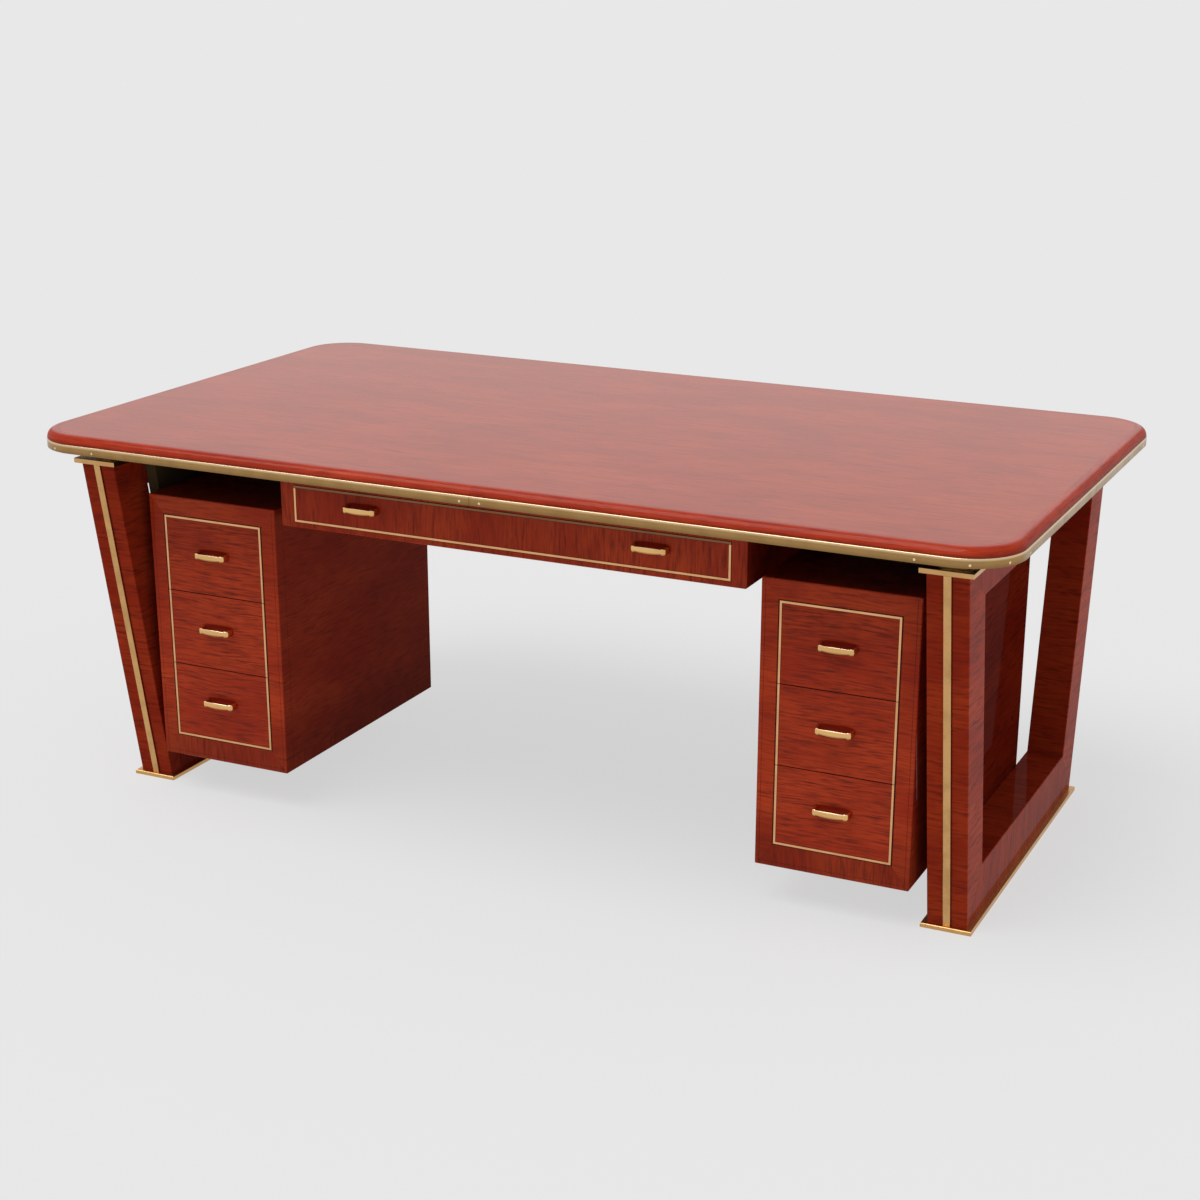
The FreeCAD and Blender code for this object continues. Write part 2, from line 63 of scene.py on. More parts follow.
# %% [markdown]
# ## Camera
#
# The photograph is taken from the front right, a little above the desktop. Its
# place was found from the desk's own straight edges, so it is written as a real
# position, a heading, a tilt, a slight roll and a focal length in pixels of the
# 1200-pixel frame. A small lens shift stands for the crop of the picture.

# %% Camera
FRAME_PIXELS = 1200
CAMERA_PLACE = (1.8107, -3.7771, 1.7020)
CAMERA_HEADING = 23.763
CAMERA_TILT = -19.009
CAMERA_ROLL = 0.648
FOCAL_PIXELS = 2155.0
AXIS_PIXEL = (669.5, 665.0)
SENSOR_WIDTH = 36.0
CLIP_END = 1000.0


def add_camera():
    data = bpy.data.cameras.new("photo_camera")
    data.sensor_width = SENSOR_WIDTH
    data.lens = FOCAL_PIXELS * data.sensor_width / FRAME_PIXELS
    data.shift_x = (FRAME_PIXELS / 2 - AXIS_PIXEL[0]) / FRAME_PIXELS
    data.shift_y = (AXIS_PIXEL[1] - FRAME_PIXELS / 2) / FRAME_PIXELS
    data.clip_end = CLIP_END
    camera = add_object("photo_camera", data)
    camera.location = CAMERA_PLACE
    heading = Matrix.Rotation(math.radians(CAMERA_HEADING), 3, "Z")
    tilt = Matrix.Rotation(math.radians(90 + CAMERA_TILT), 3, "X")
    roll = Matrix.Rotation(math.radians(CAMERA_ROLL), 3, "Z")
    camera.rotation_euler = (heading @ tilt @ roll).to_euler()
    bpy.context.scene.camera = camera
    return camera


print("lens in mm:", round(add_camera().data.lens, 2))

# %% [markdown]
# ## Small helpers for shader nodes
#
# A node tree is easier to read when each node is made in one call, with its inputs
# given by name: a plain value sets the socket, and another node's output links to it.

# %% Node helpers


def set_inputs(tree, node, inputs):
    """Set each named (or numbered) input of a node to a value, or link it to another node's output."""
    for name, value in inputs.items():
        socket = node.inputs[name]
        if isinstance(value, bpy.types.NodeSocket):
            tree.links.new(value, socket)
        else:
            socket.default_value = value


def add_node(tree, kind, inputs=None, **settings):
    """Make a node and set its properties, then its inputs."""
    node = tree.nodes.new(kind)
    for name, value in settings.items():
        setattr(node, name, value)
    set_inputs(tree, node, inputs or {})
    return node


def math_node(tree, operation, a, b=0.0, c=0.0, clamp=False):
    node = add_node(tree, "ShaderNodeMath", {0: a, 1: b, 2: c}, operation=operation, use_clamp=clamp)
    return node.outputs[0]


def times(tree, a, b):
    return math_node(tree, "MULTIPLY", a, b)


def step_between(tree, value, low, high):
    """0 below low, 1 above high and a smooth step between; low above high turns it round."""
    node = add_node(tree, "ShaderNodeMapRange", {"Value": value, "From Min": low, "From Max": high},
                    interpolation_type="SMOOTHSTEP")
    return node.outputs["Result"]


def spread(tree, value, low, high):
    """Low where the value is 0, high where it is 1, and in proportion between."""
    node = add_node(tree, "ShaderNodeMapRange", {"Value": value, "To Min": low, "To Max": high})
    return node.outputs["Result"]


def bump(tree, height, strength, distance):
    """The surface's direction, tilted by a height."""
    inputs = {"Strength": strength, "Distance": distance, "Height": height}
    return add_node(tree, "ShaderNodeBump", inputs).outputs["Normal"]


def mix_colour(tree, share, first, second):
    """The first colour with a share of the second."""
    node = add_node(tree, "ShaderNodeMix", {0: share, 6: first, 7: second}, data_type="RGBA")
    return node.outputs[2]


def lay_over(tree, colour, mask, share, second):
    """Lay a share of a second colour over the first one, where a mask says."""
    return mix_colour(tree, times(tree, mask, share), colour, second)


def own_position(tree):
    """The place of a point in its object's own coordinates."""
    return add_node(tree, "ShaderNodeTexCoord").outputs["Object"]


def parts_of(tree, vector):
    """A vector's three coordinates, as outputs named X, Y and Z."""
    return add_node(tree, "ShaderNodeSeparateXYZ", {"Vector": vector}).outputs


def own_parts(tree):
    return parts_of(tree, own_position(tree))


def vector_math(tree, operation, first, second=(0.0, 0.0, 0.0), scale=1.0):
    inputs = {0: first, 1: second, 3: scale}
    return add_node(tree, "ShaderNodeVectorMath", inputs, operation=operation).outputs["Vector"]


def noise(tree, vector, scale, detail=3.0, roughness=0.55):
    node = add_node(tree, "ShaderNodeTexNoise", {"Vector": vector, "Scale": scale, "Detail": detail,
                                                 "Roughness": roughness})
    return node.outputs["Fac"]


def grain_noise(tree, vector, stretch, detail=2.0, roughness=0.55):
    """Noise of the place times a stretch, which is small along the grain and large across it."""
    return noise(tree, vector_math(tree, "MULTIPLY", vector, stretch), 1.0, detail, roughness)


def grain_lines(tree, vector, stretch, levels, *figure):
    """Lines along the grain: 0 below the first level of a grain noise and 1 above the second."""
    return step_between(tree, grain_noise(tree, vector, stretch, *figure), *levels)


def new_group(name, inputs, outputs):
    """Empty shader node group; inputs and outputs list the names of its sockets by kind."""
    group = bpy.data.node_groups.new(name, "ShaderNodeTree")
    for in_out, kinds in (("INPUT", inputs), ("OUTPUT", outputs)):
        for kind, titles in kinds.items():
            for title in titles:
                group.interface.new_socket(title, in_out=in_out, socket_type="NodeSocket" + kind)
    return group, group.nodes.new("NodeGroupInput").outputs, group.nodes.new("NodeGroupOutput")


def empty_tree(owner, output="ShaderNodeOutputMaterial"):
    """Clear the nodes of a material or the world; give its tree and the socket of its surface."""
    owner.use_nodes = True
    tree = owner.node_tree
    tree.nodes.clear()
    return tree, tree.nodes.new(output).inputs["Surface"]


def new_material(name):
    material = bpy.data.materials.new(name)
    tree, surface = empty_tree(material)
    shader = tree.nodes.new("ShaderNodeBsdfPrincipled")
    tree.links.new(shader.outputs["BSDF"], surface)
    return material, tree, shader


print("helpers ready")

# %% [markdown]
# ## Figured veneer
#
# The desk is covered in a red-dyed figured veneer. Close up it has three scales:
# dark streaks and hair lines some 3 to 10 mm apart that run with the grain, pores
# finer than a millimetre, and a slow drift between orange and deep red. Stretched
# noise gives all three: a noise that changes slowly along the grain and quickly
# across it reads as wood. One group makes it for every panel; each panel says which
# way its grain runs.

# %% Veneer group
WANDER_SCALE, WANDER_REACH = 5.0, 0.020
RIPPLE_STRETCH = (70.0, 9.0, 9.0)
# Stretch, the levels where the lines start and are full, and the noise's detail and roughness where set
STREAK = ((24.0, 180.0, 24.0), (0.42, 0.68), 2.5)
GATHER = ((9.0, 38.0, 9.0), (0.36, 0.64))
HAIR = ((14.0, 360.0, 14.0), (0.42, 0.66), 2.0, 0.6)
PORE = ((55.0, 1500.0, 55.0), (0.52, 0.72))
DRIFT = ((4.0, 9.0, 4.0), (0.32, 0.68), 3.0)
LEAST_GATHER = 0.5


def build_veneer_group():
    """Colour = drift between two reds, darkened by streaks, hair lines, ripple and pores.

    The height is 1 less the share of the dark colour, so the dark lines lie a little deeper.
    """
    group, given, result = new_group(
        "figured_veneer",
        {"Vector": ["Vector"], "Color": ["Dark", "Red", "Orange"],
         "Float": ["Streaks", "Streak Scale", "Lines", "Ripple", "Pores", "Drift"]},
        {"Color": ["Color"], "Float": ["Height"]})
    wander = math_node(group, "SUBTRACT", noise(group, given["Vector"], WANDER_SCALE, 2.0), 0.5)
    wander = times(group, wander, WANDER_REACH)
    bend = add_node(group, "ShaderNodeCombineXYZ", {"Y": wander}).outputs["Vector"]
    bent = vector_math(group, "ADD", given["Vector"], bend)
    scaled = vector_math(group, "SCALE", bent, scale=given["Streak Scale"])
    gather = grain_lines(group, scaled, *GATHER)
    gather = math_node(group, "MULTIPLY_ADD", gather, 1.0 - LEAST_GATHER, LEAST_GATHER)
    streak = times(group, grain_lines(group, scaled, *STREAK), gather)
    hair = times(group, grain_lines(group, scaled, *HAIR), given["Lines"])
    ripple = math_node(group, "SUBTRACT", grain_noise(group, bent, RIPPLE_STRETCH), 0.5)
    ripple = times(group, ripple, given["Ripple"])
    pores = times(group, grain_lines(group, bent, *PORE), given["Pores"])
    drift = times(group, grain_lines(group, bent, *DRIFT), given["Drift"])
    body = mix_colour(group, drift, given["Red"], given["Orange"])
    dark = math_node(group, "MULTIPLY_ADD", streak, given["Streaks"], hair)
    dark = math_node(group, "ADD", dark, math_node(group, "ADD", pores, ripple), clamp=True)
    set_inputs(group, result, {"Color": mix_colour(group, dark, body, given["Dark"]),
                               "Height": math_node(group, "SUBTRACT", 1.0, dark)})
    return group


veneer_group = build_veneer_group()
print("group:", veneer_group.name)

# %% [markdown]
# ## Edges and joint lines
#
# A lacquered carcass shows its making near its edges: the finish is rubbed thin on
# the arris, small chips let the pale wood through, and a hair line marks where a
# solid lipping meets the veneer. All of these depend on how far a point is from the
# faces of the carcass. For a box that is easy: of the three distances to the pairs
# of faces, the smallest is zero on the surface, and the middle one is the distance
# to the nearest edge. A joint line lies at a set distance from one pair of faces.

# %% Edge group
RUB_WIDTH = 3 * MM
WEAR_SCALE, WEAR_RANGE = 18.0, (0.40, 0.65)
CHIP_SCALE, CHIP_RANGE = 210.0, (0.66, 0.72)
CHIP_REACH, LINE_FADE = (0.8, 0.3), (1.0, 0.4)


def build_edge_group():
    """Masks from the distances to a box's faces: rubbed arris, chips and a line at a set depth."""
    group, given, result = new_group(
        "carcass_edges",
        {"Vector": ["Position", "Centre", "Half", "Line Depth"], "Float": ["Line Width"]},
        {"Float": ["Rub", "Chips", "Line"]})
    away = vector_math(group, "ABSOLUTE", vector_math(group, "SUBTRACT", given["Position"], given["Centre"]))
    room = vector_math(group, "SUBTRACT", given["Half"], away)
    a, b, c = parts_of(group, room)
    lower, upper = math_node(group, "MINIMUM", a, b), math_node(group, "MAXIMUM", a, b)
    middle = math_node(group, "MAXIMUM", lower, math_node(group, "MINIMUM", upper, c))
    near = math_node(group, "DIVIDE", middle, RUB_WIDTH)
    uneven = step_between(group, noise(group, given["Position"], WEAR_SCALE, 4.0), *WEAR_RANGE)
    speck = step_between(group, noise(group, given["Position"], CHIP_SCALE, 3.0), *CHIP_RANGE)
    rub = times(group, step_between(group, near, 1.0, 0.0), uneven)
    chips = times(group, step_between(group, near, *CHIP_REACH), speck)
    off = vector_math(group, "ABSOLUTE", vector_math(group, "SUBTRACT", room, given["Line Depth"]))
    a, b, c = parts_of(group, off)
    nearest = math_node(group, "MINIMUM", math_node(group, "MINIMUM", a, b), c)
    line = step_between(group, math_node(group, "DIVIDE", nearest, given["Line Width"]), *LINE_FADE)
    set_inputs(group, result, {"Rub": rub, "Chips": chips, "Line": line})
    return group


edge_group = build_edge_group()
print("group:", edge_group.name)

# %% [markdown]
# ## Lacquered veneer materials
#
# The clear lacquer is polished flat, so it reflects like glass over the wood. In the
# Principled shader that is a smooth coat over a dull base. Each panel lists the axes
# that its grain runs along and across, because the maker lays the veneer a different
# way on the top, on the fronts and on the narrow borders. The underside of the top is
# covered in near-black painted shade; faces that get little light are darkened towards
# a deep red with painted shade, and an oval of painted shadow and reflection lies on
# the lacquer behind each pull.

# %% Lacquer


def wood_tones(dark, red, orange):
    """Colours of the streaks and of the two ends of the veneer's drift."""
    return {"Dark": (*dark, 1.0), "Red": (*red, 1.0), "Orange": (*orange, 1.0)}


PANEL_COLOURS = wood_tones((0.15, 0.017, 0.0095), (0.36, 0.03, 0.0095), (0.48, 0.054, 0.015))
TOP_COLOURS = wood_tones((0.24, 0.026, 0.0075), (0.4, 0.043, 0.009), (0.48, 0.058, 0.012))
# A much darker copy of the veneer for the cheeks, as painted shade
CHEEK_SHADE_COLOURS = wood_tones((0.06, 0.005, 0.0025), (0.13, 0.0085, 0.003), (0.17, 0.014, 0.0045))
BARE_WOOD = (0.5, 0.25, 0.12, 1.0)
# Dark tone of real joint lines, also used for painted shade
JOINT_AND_SHADE_DARK = (0.03, 0.006, 0.004, 1.0)
# Near-black painted shade for the underside of the top
UNDERSIDE_SHADE = (0.012, 0.006, 0.0035, 1.0)
# Olive-black painted shade for the cheeks' inner faces
OLIVE_SHADE = (0.07, 0.045, 0.02, 1.0)
# Deep red of the painted shade on faces that get little light
SHADE_RED = (0.08, 0.003, 0.0012, 1.0)
# Colour, size, rise and share of the painted shadow and reflection behind each pull
PULL_SHADOW_RED = (0.16, 0.006, 0.0025, 1.0)
PULL_SHADOW_OVAL, PULL_SHADOW_RISE, PULL_SHADOW_SHARE = (37 * MM, 8 * MM), 2.5 * MM, 0.75
OVAL_POWER, OVAL_RANGE = 4.0, (1.3, 0.6)
STAIN_EDGE = 0.4 * MM
FAR = 9.0
NO_LINE = (FAR, FAR, FAR)
# The second width, with the gap share below, draws painted shade beside the drawer gaps
JOINT_WIDTH, GAP_SHADE_WIDTH = 0.7 * MM, 1.5 * MM
RUB_SHARE, LINE_SHARE, GAP_SHADE_SHARE, CHIP_SHARE = 0.35, 0.6, 0.85, 0.6
# Share of the painted shade beside the posts' brass strips
STRIP_SHADE_SHARE = 0.75
THIN_COAT, THIN_IOR = 0.6, 1.2
FULL_COAT, FULL_IOR = 0.85, 1.5
COAT_ROUGHNESS = 0.04
SHADED_LOSS = 0.6
LACQUER_GLOSS, LACQUER_BUMP = (0.55, 0.38), (0.08, 0.4 * MM)


def toned(colours, share):
    """The same set of colours, lighter or darker by a share."""
    return {name: tuple(share * part for part in colour[:3]) + (1.0,) for name, colour in colours.items()}


def grain_vector(tree, axes):
    """Object position with its axes put in the order along, across and depth of the grain."""
    parts = own_parts(tree)
    turned = {place: parts[axis] for place, axis in zip("XYZ", axes)}
    return add_node(tree, "ShaderNodeCombineXYZ", turned).outputs["Vector"]


def place_group(tree, group, inputs):
    """Put a node group into a material and set or link its named inputs."""
    return add_node(tree, "ShaderNodeGroup", inputs, node_tree=group).outputs


def veneer(tree, vector, streaks, scale=1.0, lines=0.3, ripple=0.15, pores=0.15, drift=1.0,
           colours=PANEL_COLOURS):
    """Colour and height of veneer whose grain runs along the vector's first axis."""
    inputs = {"Vector": vector, "Streaks": streaks, "Streak Scale": scale, "Lines": lines, "Ripple": ripple,
              "Pores": pores, "Drift": drift}
    made = place_group(tree, veneer_group, {**inputs, **colours})
    return made["Color"], made["Height"]


def relief(tree, shader, height, gloss, strength, distance):
    """Roughness between two values and a faint bump, both from the veneer's height."""
    set_inputs(tree, shader, {"Roughness": spread(tree, height, *gloss),
                              "Normal": bump(tree, height, strength, distance)})


def polish(tree, shader, colour, height, coat, coat_ior):
    """Feed the wood to the shader and cover it with a flat clear coat."""
    set_inputs(tree, shader, {"Base Color": colour, "Specular IOR Level": 0.0, "Coat Weight": coat,
                              "Coat Roughness": COAT_ROUGHNESS, "Coat IOR": coat_ior})
    relief(tree, shader, height, LACQUER_GLOSS, *LACQUER_BUMP)


def edge_marks(tree, colour, box, line_depth, gap_shade_depth):
    """Rub the arrises of a (low, high) box, draw dark lines at the line depth (joint lines, or painted shade
    round brass lines), lay painted shade beside the gaps, and chip it to bare wood.
    """
    low, high = (Vector(corner) for corner in box)
    shape = {"Position": own_position(tree), "Centre": (low + high) / 2, "Half": (high - low) / 2}
    masks = place_group(tree, edge_group, {**shape, "Line Depth": line_depth, "Line Width": JOINT_WIDTH})
    gap_shades = place_group(tree, edge_group, {**shape, "Line Depth": gap_shade_depth, "Line Width": GAP_SHADE_WIDTH})
    colour = lay_over(tree, colour, masks["Rub"], RUB_SHARE, PANEL_COLOURS["Orange"])
    colour = lay_over(tree, colour, masks["Line"], LINE_SHARE, JOINT_AND_SHADE_DARK)
    # Painted shade beside the gaps
    colour = lay_over(tree, colour, gap_shades["Line"], GAP_SHADE_SHARE, JOINT_AND_SHADE_DARK)
    return lay_over(tree, colour, masks["Chips"], CHIP_SHARE, BARE_WOOD)


def below(tree, axis, level):
    """1 where the distance from the origin along an axis is less than the level, with a narrow blend."""
    distance = math_node(tree, "ABSOLUTE", own_parts(tree)[axis])
    return step_between(tree, distance, level + STAIN_EDGE, level - STAIN_EDGE)


def pull_shadow(tree, colour, x, z):
    """Painted shadow and reflection of a handle, a deep red oval behind it: where (x / half width)^4 + (z /
    half height)^4 is less than about 1.
    """
    parts = own_parts(tree)
    terms = []
    for axis, centre, half in (("X", x, PULL_SHADOW_OVAL[0]), ("Z", z + PULL_SHADOW_RISE, PULL_SHADOW_OVAL[1])):
        off = math_node(tree, "DIVIDE", math_node(tree, "SUBTRACT", parts[axis], centre), half)
        terms.append(math_node(tree, "POWER", math_node(tree, "ABSOLUTE", off), OVAL_POWER))
    oval = step_between(tree, math_node(tree, "ADD", *terms), *OVAL_RANGE)
    return lay_over(tree, colour, oval, PULL_SHADOW_SHARE, PULL_SHADOW_RED)


def strip_shade_lines(tree, colour, middle):
    """Painted shade: dark lines on a post's leaning outer face, on both sides of the proud strip at x =
    middle.
    """
    x, y, z = own_parts(tree)
    off = math_node(tree, "ABSOLUTE", math_node(tree, "SUBTRACT", x, middle))
    line = step_between(tree, off, *(STRIP_HALF + reach for reach in STRIP_SHADE_REACH))
    upright = math_node(tree, "MULTIPLY_ADD", z, -POST_LEAN, math_node(tree, "ABSOLUTE", y))
    outer = step_between(tree, upright, *(POST_FOOT - depth for depth in OUTER_FACE))
    return lay_over(tree, colour, times(tree, line, outer), STRIP_SHADE_SHARE, JOINT_AND_SHADE_DARK)


def lacquered(name, axes, streaks, edges=None, line_depth=NO_LINE, gap_shade_depth=NO_LINE, coat=THIN_COAT,
              coat_ior=THIN_IOR, banding=None, lower_shade=None, strip=None, pulls=(), shaded=None, painted_dark=None,
              **figure):
    """Lacquered veneer on one panel.

    edges is the box whose arrises are rubbed. banding is a height and the grain's axes below it, and
    lower_shade two heights between which painted shade darkens the wood towards the foot, and by how much.
    pulls are the handles' places in x and z, each with an oval of painted shadow behind it. strip is the
    middle of a proud brass strip, with lines of painted shade beside it. shaded is an axis, the level
    below which painted shade darkens the wood towards a deep red, and by how much. painted_dark is an
    axis, the level below which painted shade covers the wood, and its dark tone.
    """
    material, tree, shader = new_material(name)
    colour, height = veneer(tree, grain_vector(tree, axes), streaks, **figure)
    if banding:
        level, cross_axes = banding
        crossed = veneer(tree, grain_vector(tree, cross_axes), streaks, **figure)[0]
        colour = mix_colour(tree, below(tree, "Z", level), colour, crossed)
    if edges:
        colour = edge_marks(tree, colour, edges, line_depth, gap_shade_depth)
    # Painted shade that grows towards the foot
    if lower_shade:
        clear_level, dark_level, share = lower_shade
        lower = step_between(tree, own_parts(tree)["Z"], clear_level, dark_level)
        colour = lay_over(tree, colour, lower, share, JOINT_AND_SHADE_DARK)
    # Painted shadow and reflection of each handle
    for x, z in pulls:
        colour = pull_shadow(tree, colour, x, z)
    if strip is not None:
        colour = strip_shade_lines(tree, colour, strip)
    polish(tree, shader, colour, height, coat, coat_ior)
    # Painted shade on faces that get little light, with less clear coat there
    if shaded:
        axis, level, share = shaded
        paint_shade_below(tree, shader, colour, axis, level, SHADE_RED, share, SHADED_LOSS * coat, coat)
    # Painted shade: a dark tone covers the wood below a level, with no clear coat there
    if painted_dark:
        axis, level, shade_tone = painted_dark
        paint_shade_below(tree, shader, colour, axis, level, shade_tone, 1.0, coat, coat)
    return material


def paint_shade_below(tree, shader, colour, axis, level, tone, share, loss, coat):
    """Painted shade: lay a dark tone over the wood below a level, and take a loss off the clear coat there.
    """
    mask = below(tree, axis, level)
    set_inputs(tree, shader, {"Base Color": lay_over(tree, colour, mask, share, tone),
                              "Coat Weight": math_node(tree, "MULTIPLY_ADD", mask, -loss, coat)})


def finish_nodes(material, *names):
    """Give CAD nodes one material in place of the one that they came with."""
    for name in names:
        mesh = nodes[name].data
        mesh.materials.clear()
        mesh.materials.append(material)


print("lacquer ready, coat", THIN_COAT, "and", FULL_COAT)

# %% [markdown]
# ## Which way the grain runs
#
# On the top it runs along the desk. On the drawer fronts and posts it runs across, so
# that their dark streaks lie level; on the centre drawer and under the pedestal
# drawers it stands upright. Round the brass lines of a drawer front a thin dark line of
# painted shade, drawn as a joint line, stands for the shade beside the proud brass.
# Beside the narrow gaps round the drawers, the borders and fronts are darkened with
# painted shade, for the shade inside the gaps.

# %% Panels
SIDES = ("left", "right")
ROWS = ("lower", "middle", "upper")
DRAWERS = [side + "_" + row + "_drawer" for side in SIDES for row in ROWS]
TRIM_WIDTH = 4 * MM
# Depth of the line of painted shade round the drawer fronts' proud brass lines
TRIM_SHADE_LINE = TRIM_WIDTH + 0.6 * MM
LIPPING_LINE, FOOT_LINE = 25 * MM, 8 * MM
SIDE_BORDER, HEAD_BORDER, FOOT_BORDER = 33.4 * MM, 37.4 * MM, 43.4 * MM
HALF_GAP = 0.6 * MM
# The second and third values: height and share of the painted shade that darkens the pedestal sides towards
# the foot
BANDING, FOOT_SHADE_HEIGHT, FOOT_SHADE_SHARE = 27 * MM, 150 * MM, 0.3
# The second pair: reach of the painted shade lines beside the posts' strips
STRIP_HALF, STRIP_SHADE_REACH = 7 * MM, (2.0 * MM, 0.5 * MM)
POST_LEAN = 116 / 686
POST_FOOT, OUTER_FACE = 0.3686, (20 * MM, 5 * MM)
FRAME_COAT, FRAME_SHADE = 0.3, 0.35
# A lighter copy of the veneer for the frames' lit outer faces
FRAME_LIT_COLOURS = toned(PANEL_COLOURS, 1.05)
# A darker copy of the veneer for the bottom borders, as painted shade
FOOT_SHADE_COLOURS = toned(PANEL_COLOURS, 0.68)
PEDESTAL_COAT, PEDESTAL_SHADE = 0.45, 0.28
CHEEK_COAT, CHEEK_EDGE = 0.04, 1.5 * MM
CENTRE_SHADE, CENTRE_EDGE = 0.6, 2 * MM


def pull_place(low, high):
    """The middle of a handle's box, in x and z."""
    return (low.x + high.x) / 2, (low.z + high.z) / 2


def dress_pedestal(side):
    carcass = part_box(side + "_pedestal_sides")
    inner_face = min(abs(corner.x) for corner in carcass)
    foot_z = carcass[0].z
    # Painted shade: the sides and back darken towards the foot
    foot_shade = (foot_z + FOOT_SHADE_HEIGHT, foot_z + BANDING, FOOT_SHADE_SHARE)
    # Painted shade: the kneehole side of the pedestal is darkened towards a deep red
    upright = lacquered(side + "_pedestal_veneer", "YZX", 0.45, carcass, (FOOT_LINE, LIPPING_LINE, FAR),
                        (SIDE_BORDER, FAR, FAR), coat=PEDESTAL_COAT, banding=(foot_z + BANDING, "ZYX"),
                        lower_shade=foot_shade, shaded=("X", inner_face + MM, PEDESTAL_SHADE))
    head = lacquered(side + "_head_veneer", "XZY", 0.45, carcass, NO_LINE, (FAR, FAR, HEAD_BORDER))
    foot = lacquered(side + "_foot_veneer", "ZXY", 0.5, carcass, (FOOT_LINE, FAR, FOOT_LINE),
                     (FAR, FAR, FOOT_BORDER), colours=FOOT_SHADE_COLOURS)
    for panel, finish in (("sides", upright), ("back", upright), ("top", head), ("bottom", foot)):
        finish_nodes(finish, side + "_pedestal_" + panel)


def dress_fronts(side):
    """One veneer across a pedestal's three fronts, marked from the box round all their brass lines."""
    drawers = [drawer for drawer in DRAWERS if drawer.startswith(side)]
    trims = [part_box(drawer + "_trim") for drawer in drawers]
    front_height = trims[0][1].z - trims[0][0].z
    front = lacquered(side + "_drawer_veneer", "XZY", 0.55, (trims[0][0], trims[-1][1]),
                      (TRIM_SHADE_LINE, FAR, TRIM_SHADE_LINE), (FAR, FAR, front_height + HALF_GAP),
                      drift=0.8, lines=0.5,
                      pulls=[pull_place(*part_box(drawer + "_handle")) for drawer in drawers])
    finish_nodes(front, *(drawer + "_front" for drawer in drawers))


def dress_frame(side):
    low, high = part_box(side + "_bottom_rail")
    # Painted shade: every frame face inside the outer faces is darkened towards a deep red
    within_shade = ("X", max(abs(low.x), abs(high.x)) - MM, FRAME_SHADE)
    post = lacquered(side + "_post_veneer", "XZY", 0.6, strip=(low.x + high.x) / 2, coat=FRAME_COAT,
                     shaded=within_shade, colours=FRAME_LIT_COLOURS)
    rail = lacquered(side + "_rail_veneer", "ZYX", 0.6, coat=FRAME_COAT, shaded=within_shade, colours=FRAME_LIT_COLOURS)
    finish_nodes(post, side + "_front_post", side + "_rear_post")
    finish_nodes(rail, side + "_bottom_rail", side + "_top_rail")


# Painted shade: the underside of the top is covered in a near-black tone
under_top_shade = ("Z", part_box("desktop_panel")[0].z + MM, UNDERSIDE_SHADE)
finish_nodes(lacquered("top_veneer", "XYZ", 0.40, scale=0.8, pores=0.1, coat=FULL_COAT, coat_ior=FULL_IOR,
                       painted_dark=under_top_shade, colours=TOP_COLOURS), "desktop_panel")
for side in SIDES:
    dress_pedestal(side)
    dress_fronts(side)
    dress_frame(side)
# Painted shade: the cheeks get a dark copy of the lacquer with almost no coat, and an olive-black inner face
cheek_inside_shade = ("X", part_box("cheeks")[1].x - CHEEK_EDGE, OLIVE_SHADE)
finish_nodes(lacquered("cheek_shade_veneer", "YZX", 0.6, coat=CHEEK_COAT, painted_dark=cheek_inside_shade,
                       colours=CHEEK_SHADE_COLOURS), "cheeks")
centre_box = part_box("centre_box_sides")
# Painted shade: the centre box's sides are darkened behind their front edge
behind_front_shade = ("Y", -centre_box[0].y - CENTRE_EDGE, CENTRE_SHADE)
finish_nodes(lacquered("centre_box_veneer", "ZXY", 0.6, centre_box, shaded=behind_front_shade),
             *("centre_box_" + panel for panel in ("sides", "bottom", "back", "top_rail")))
pull_low, pull_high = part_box(DRAWERS[0] + "_handle")
pull_half = (pull_high.x - pull_low.x) / 2
low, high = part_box("centre_drawer_handles")
centre_pulls = [(x, (low.z + high.z) / 2) for x in (low.x + pull_half, high.x - pull_half)]
finish_nodes(lacquered("centre_drawer_veneer", "ZXY", 0.6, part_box("centre_drawer_trim"),
                       (TRIM_SHADE_LINE, FAR, TRIM_SHADE_LINE), pulls=centre_pulls), "centre_drawer_front")
print("lacquered materials:", len(bpy.data.materials))

# %% [markdown]
# ## Brass
#
# The brass is polished, but old: its colour drifts a little, hand marks dull the
# gloss in patches, and fine lines run along the bars from polishing. Noise that is
# stretched along the bar gives the polishing lines, and a slow noise the dull patches.
# The centre drawer's upper line lies under the top's edge, and its upper run is darkened there with a painted
# shadow.

# %% Brass


def brass_tones(bright, dull):
    return {"Bright": (*bright, 1.0), "Dull": (*dull, 1.0)}


BAR_BRASS = brass_tones((0.66, 0.385, 0.155), (0.48, 0.265, 0.1))
BAND_BRASS = brass_tones((0.41, 0.24, 0.088), (0.29, 0.165, 0.058))
# Pale brass for the pins and for painted highlights; dark brass for painted shade
PALE_HIGHLIGHT_BRASS = (0.96, 0.74, 0.47, 1.0)
SHADED_BRASS = (0.2, 0.11, 0.04, 1.0)
# Dark brown of the painted shadow on the centre drawer's upper brass line
LINE_SHADOW_TONE = (0.110, 0.045, 0.022, 1.0)
PULL_BRASS = brass_tones((0.84, 0.5, 0.19), (0.6, 0.34, 0.11))
LINE_BRASS = brass_tones((0.82, 0.44, 0.21), (0.6, 0.3, 0.13))
PATINA_SCALE, PATINA_RANGE = 26.0, (0.38, 0.70)
PATINA_DULLING = 0.18
POLISHING_STRETCH, POLISHING_SHARE = (40.0, 2200.0, 2200.0), 0.12
POLISHING_BUMP = (0.05, 0.1 * MM)
LINE_SHADOW_DEPTHS, LINE_SHADOW_SHARE = (6 * MM, 5 * MM), 0.85


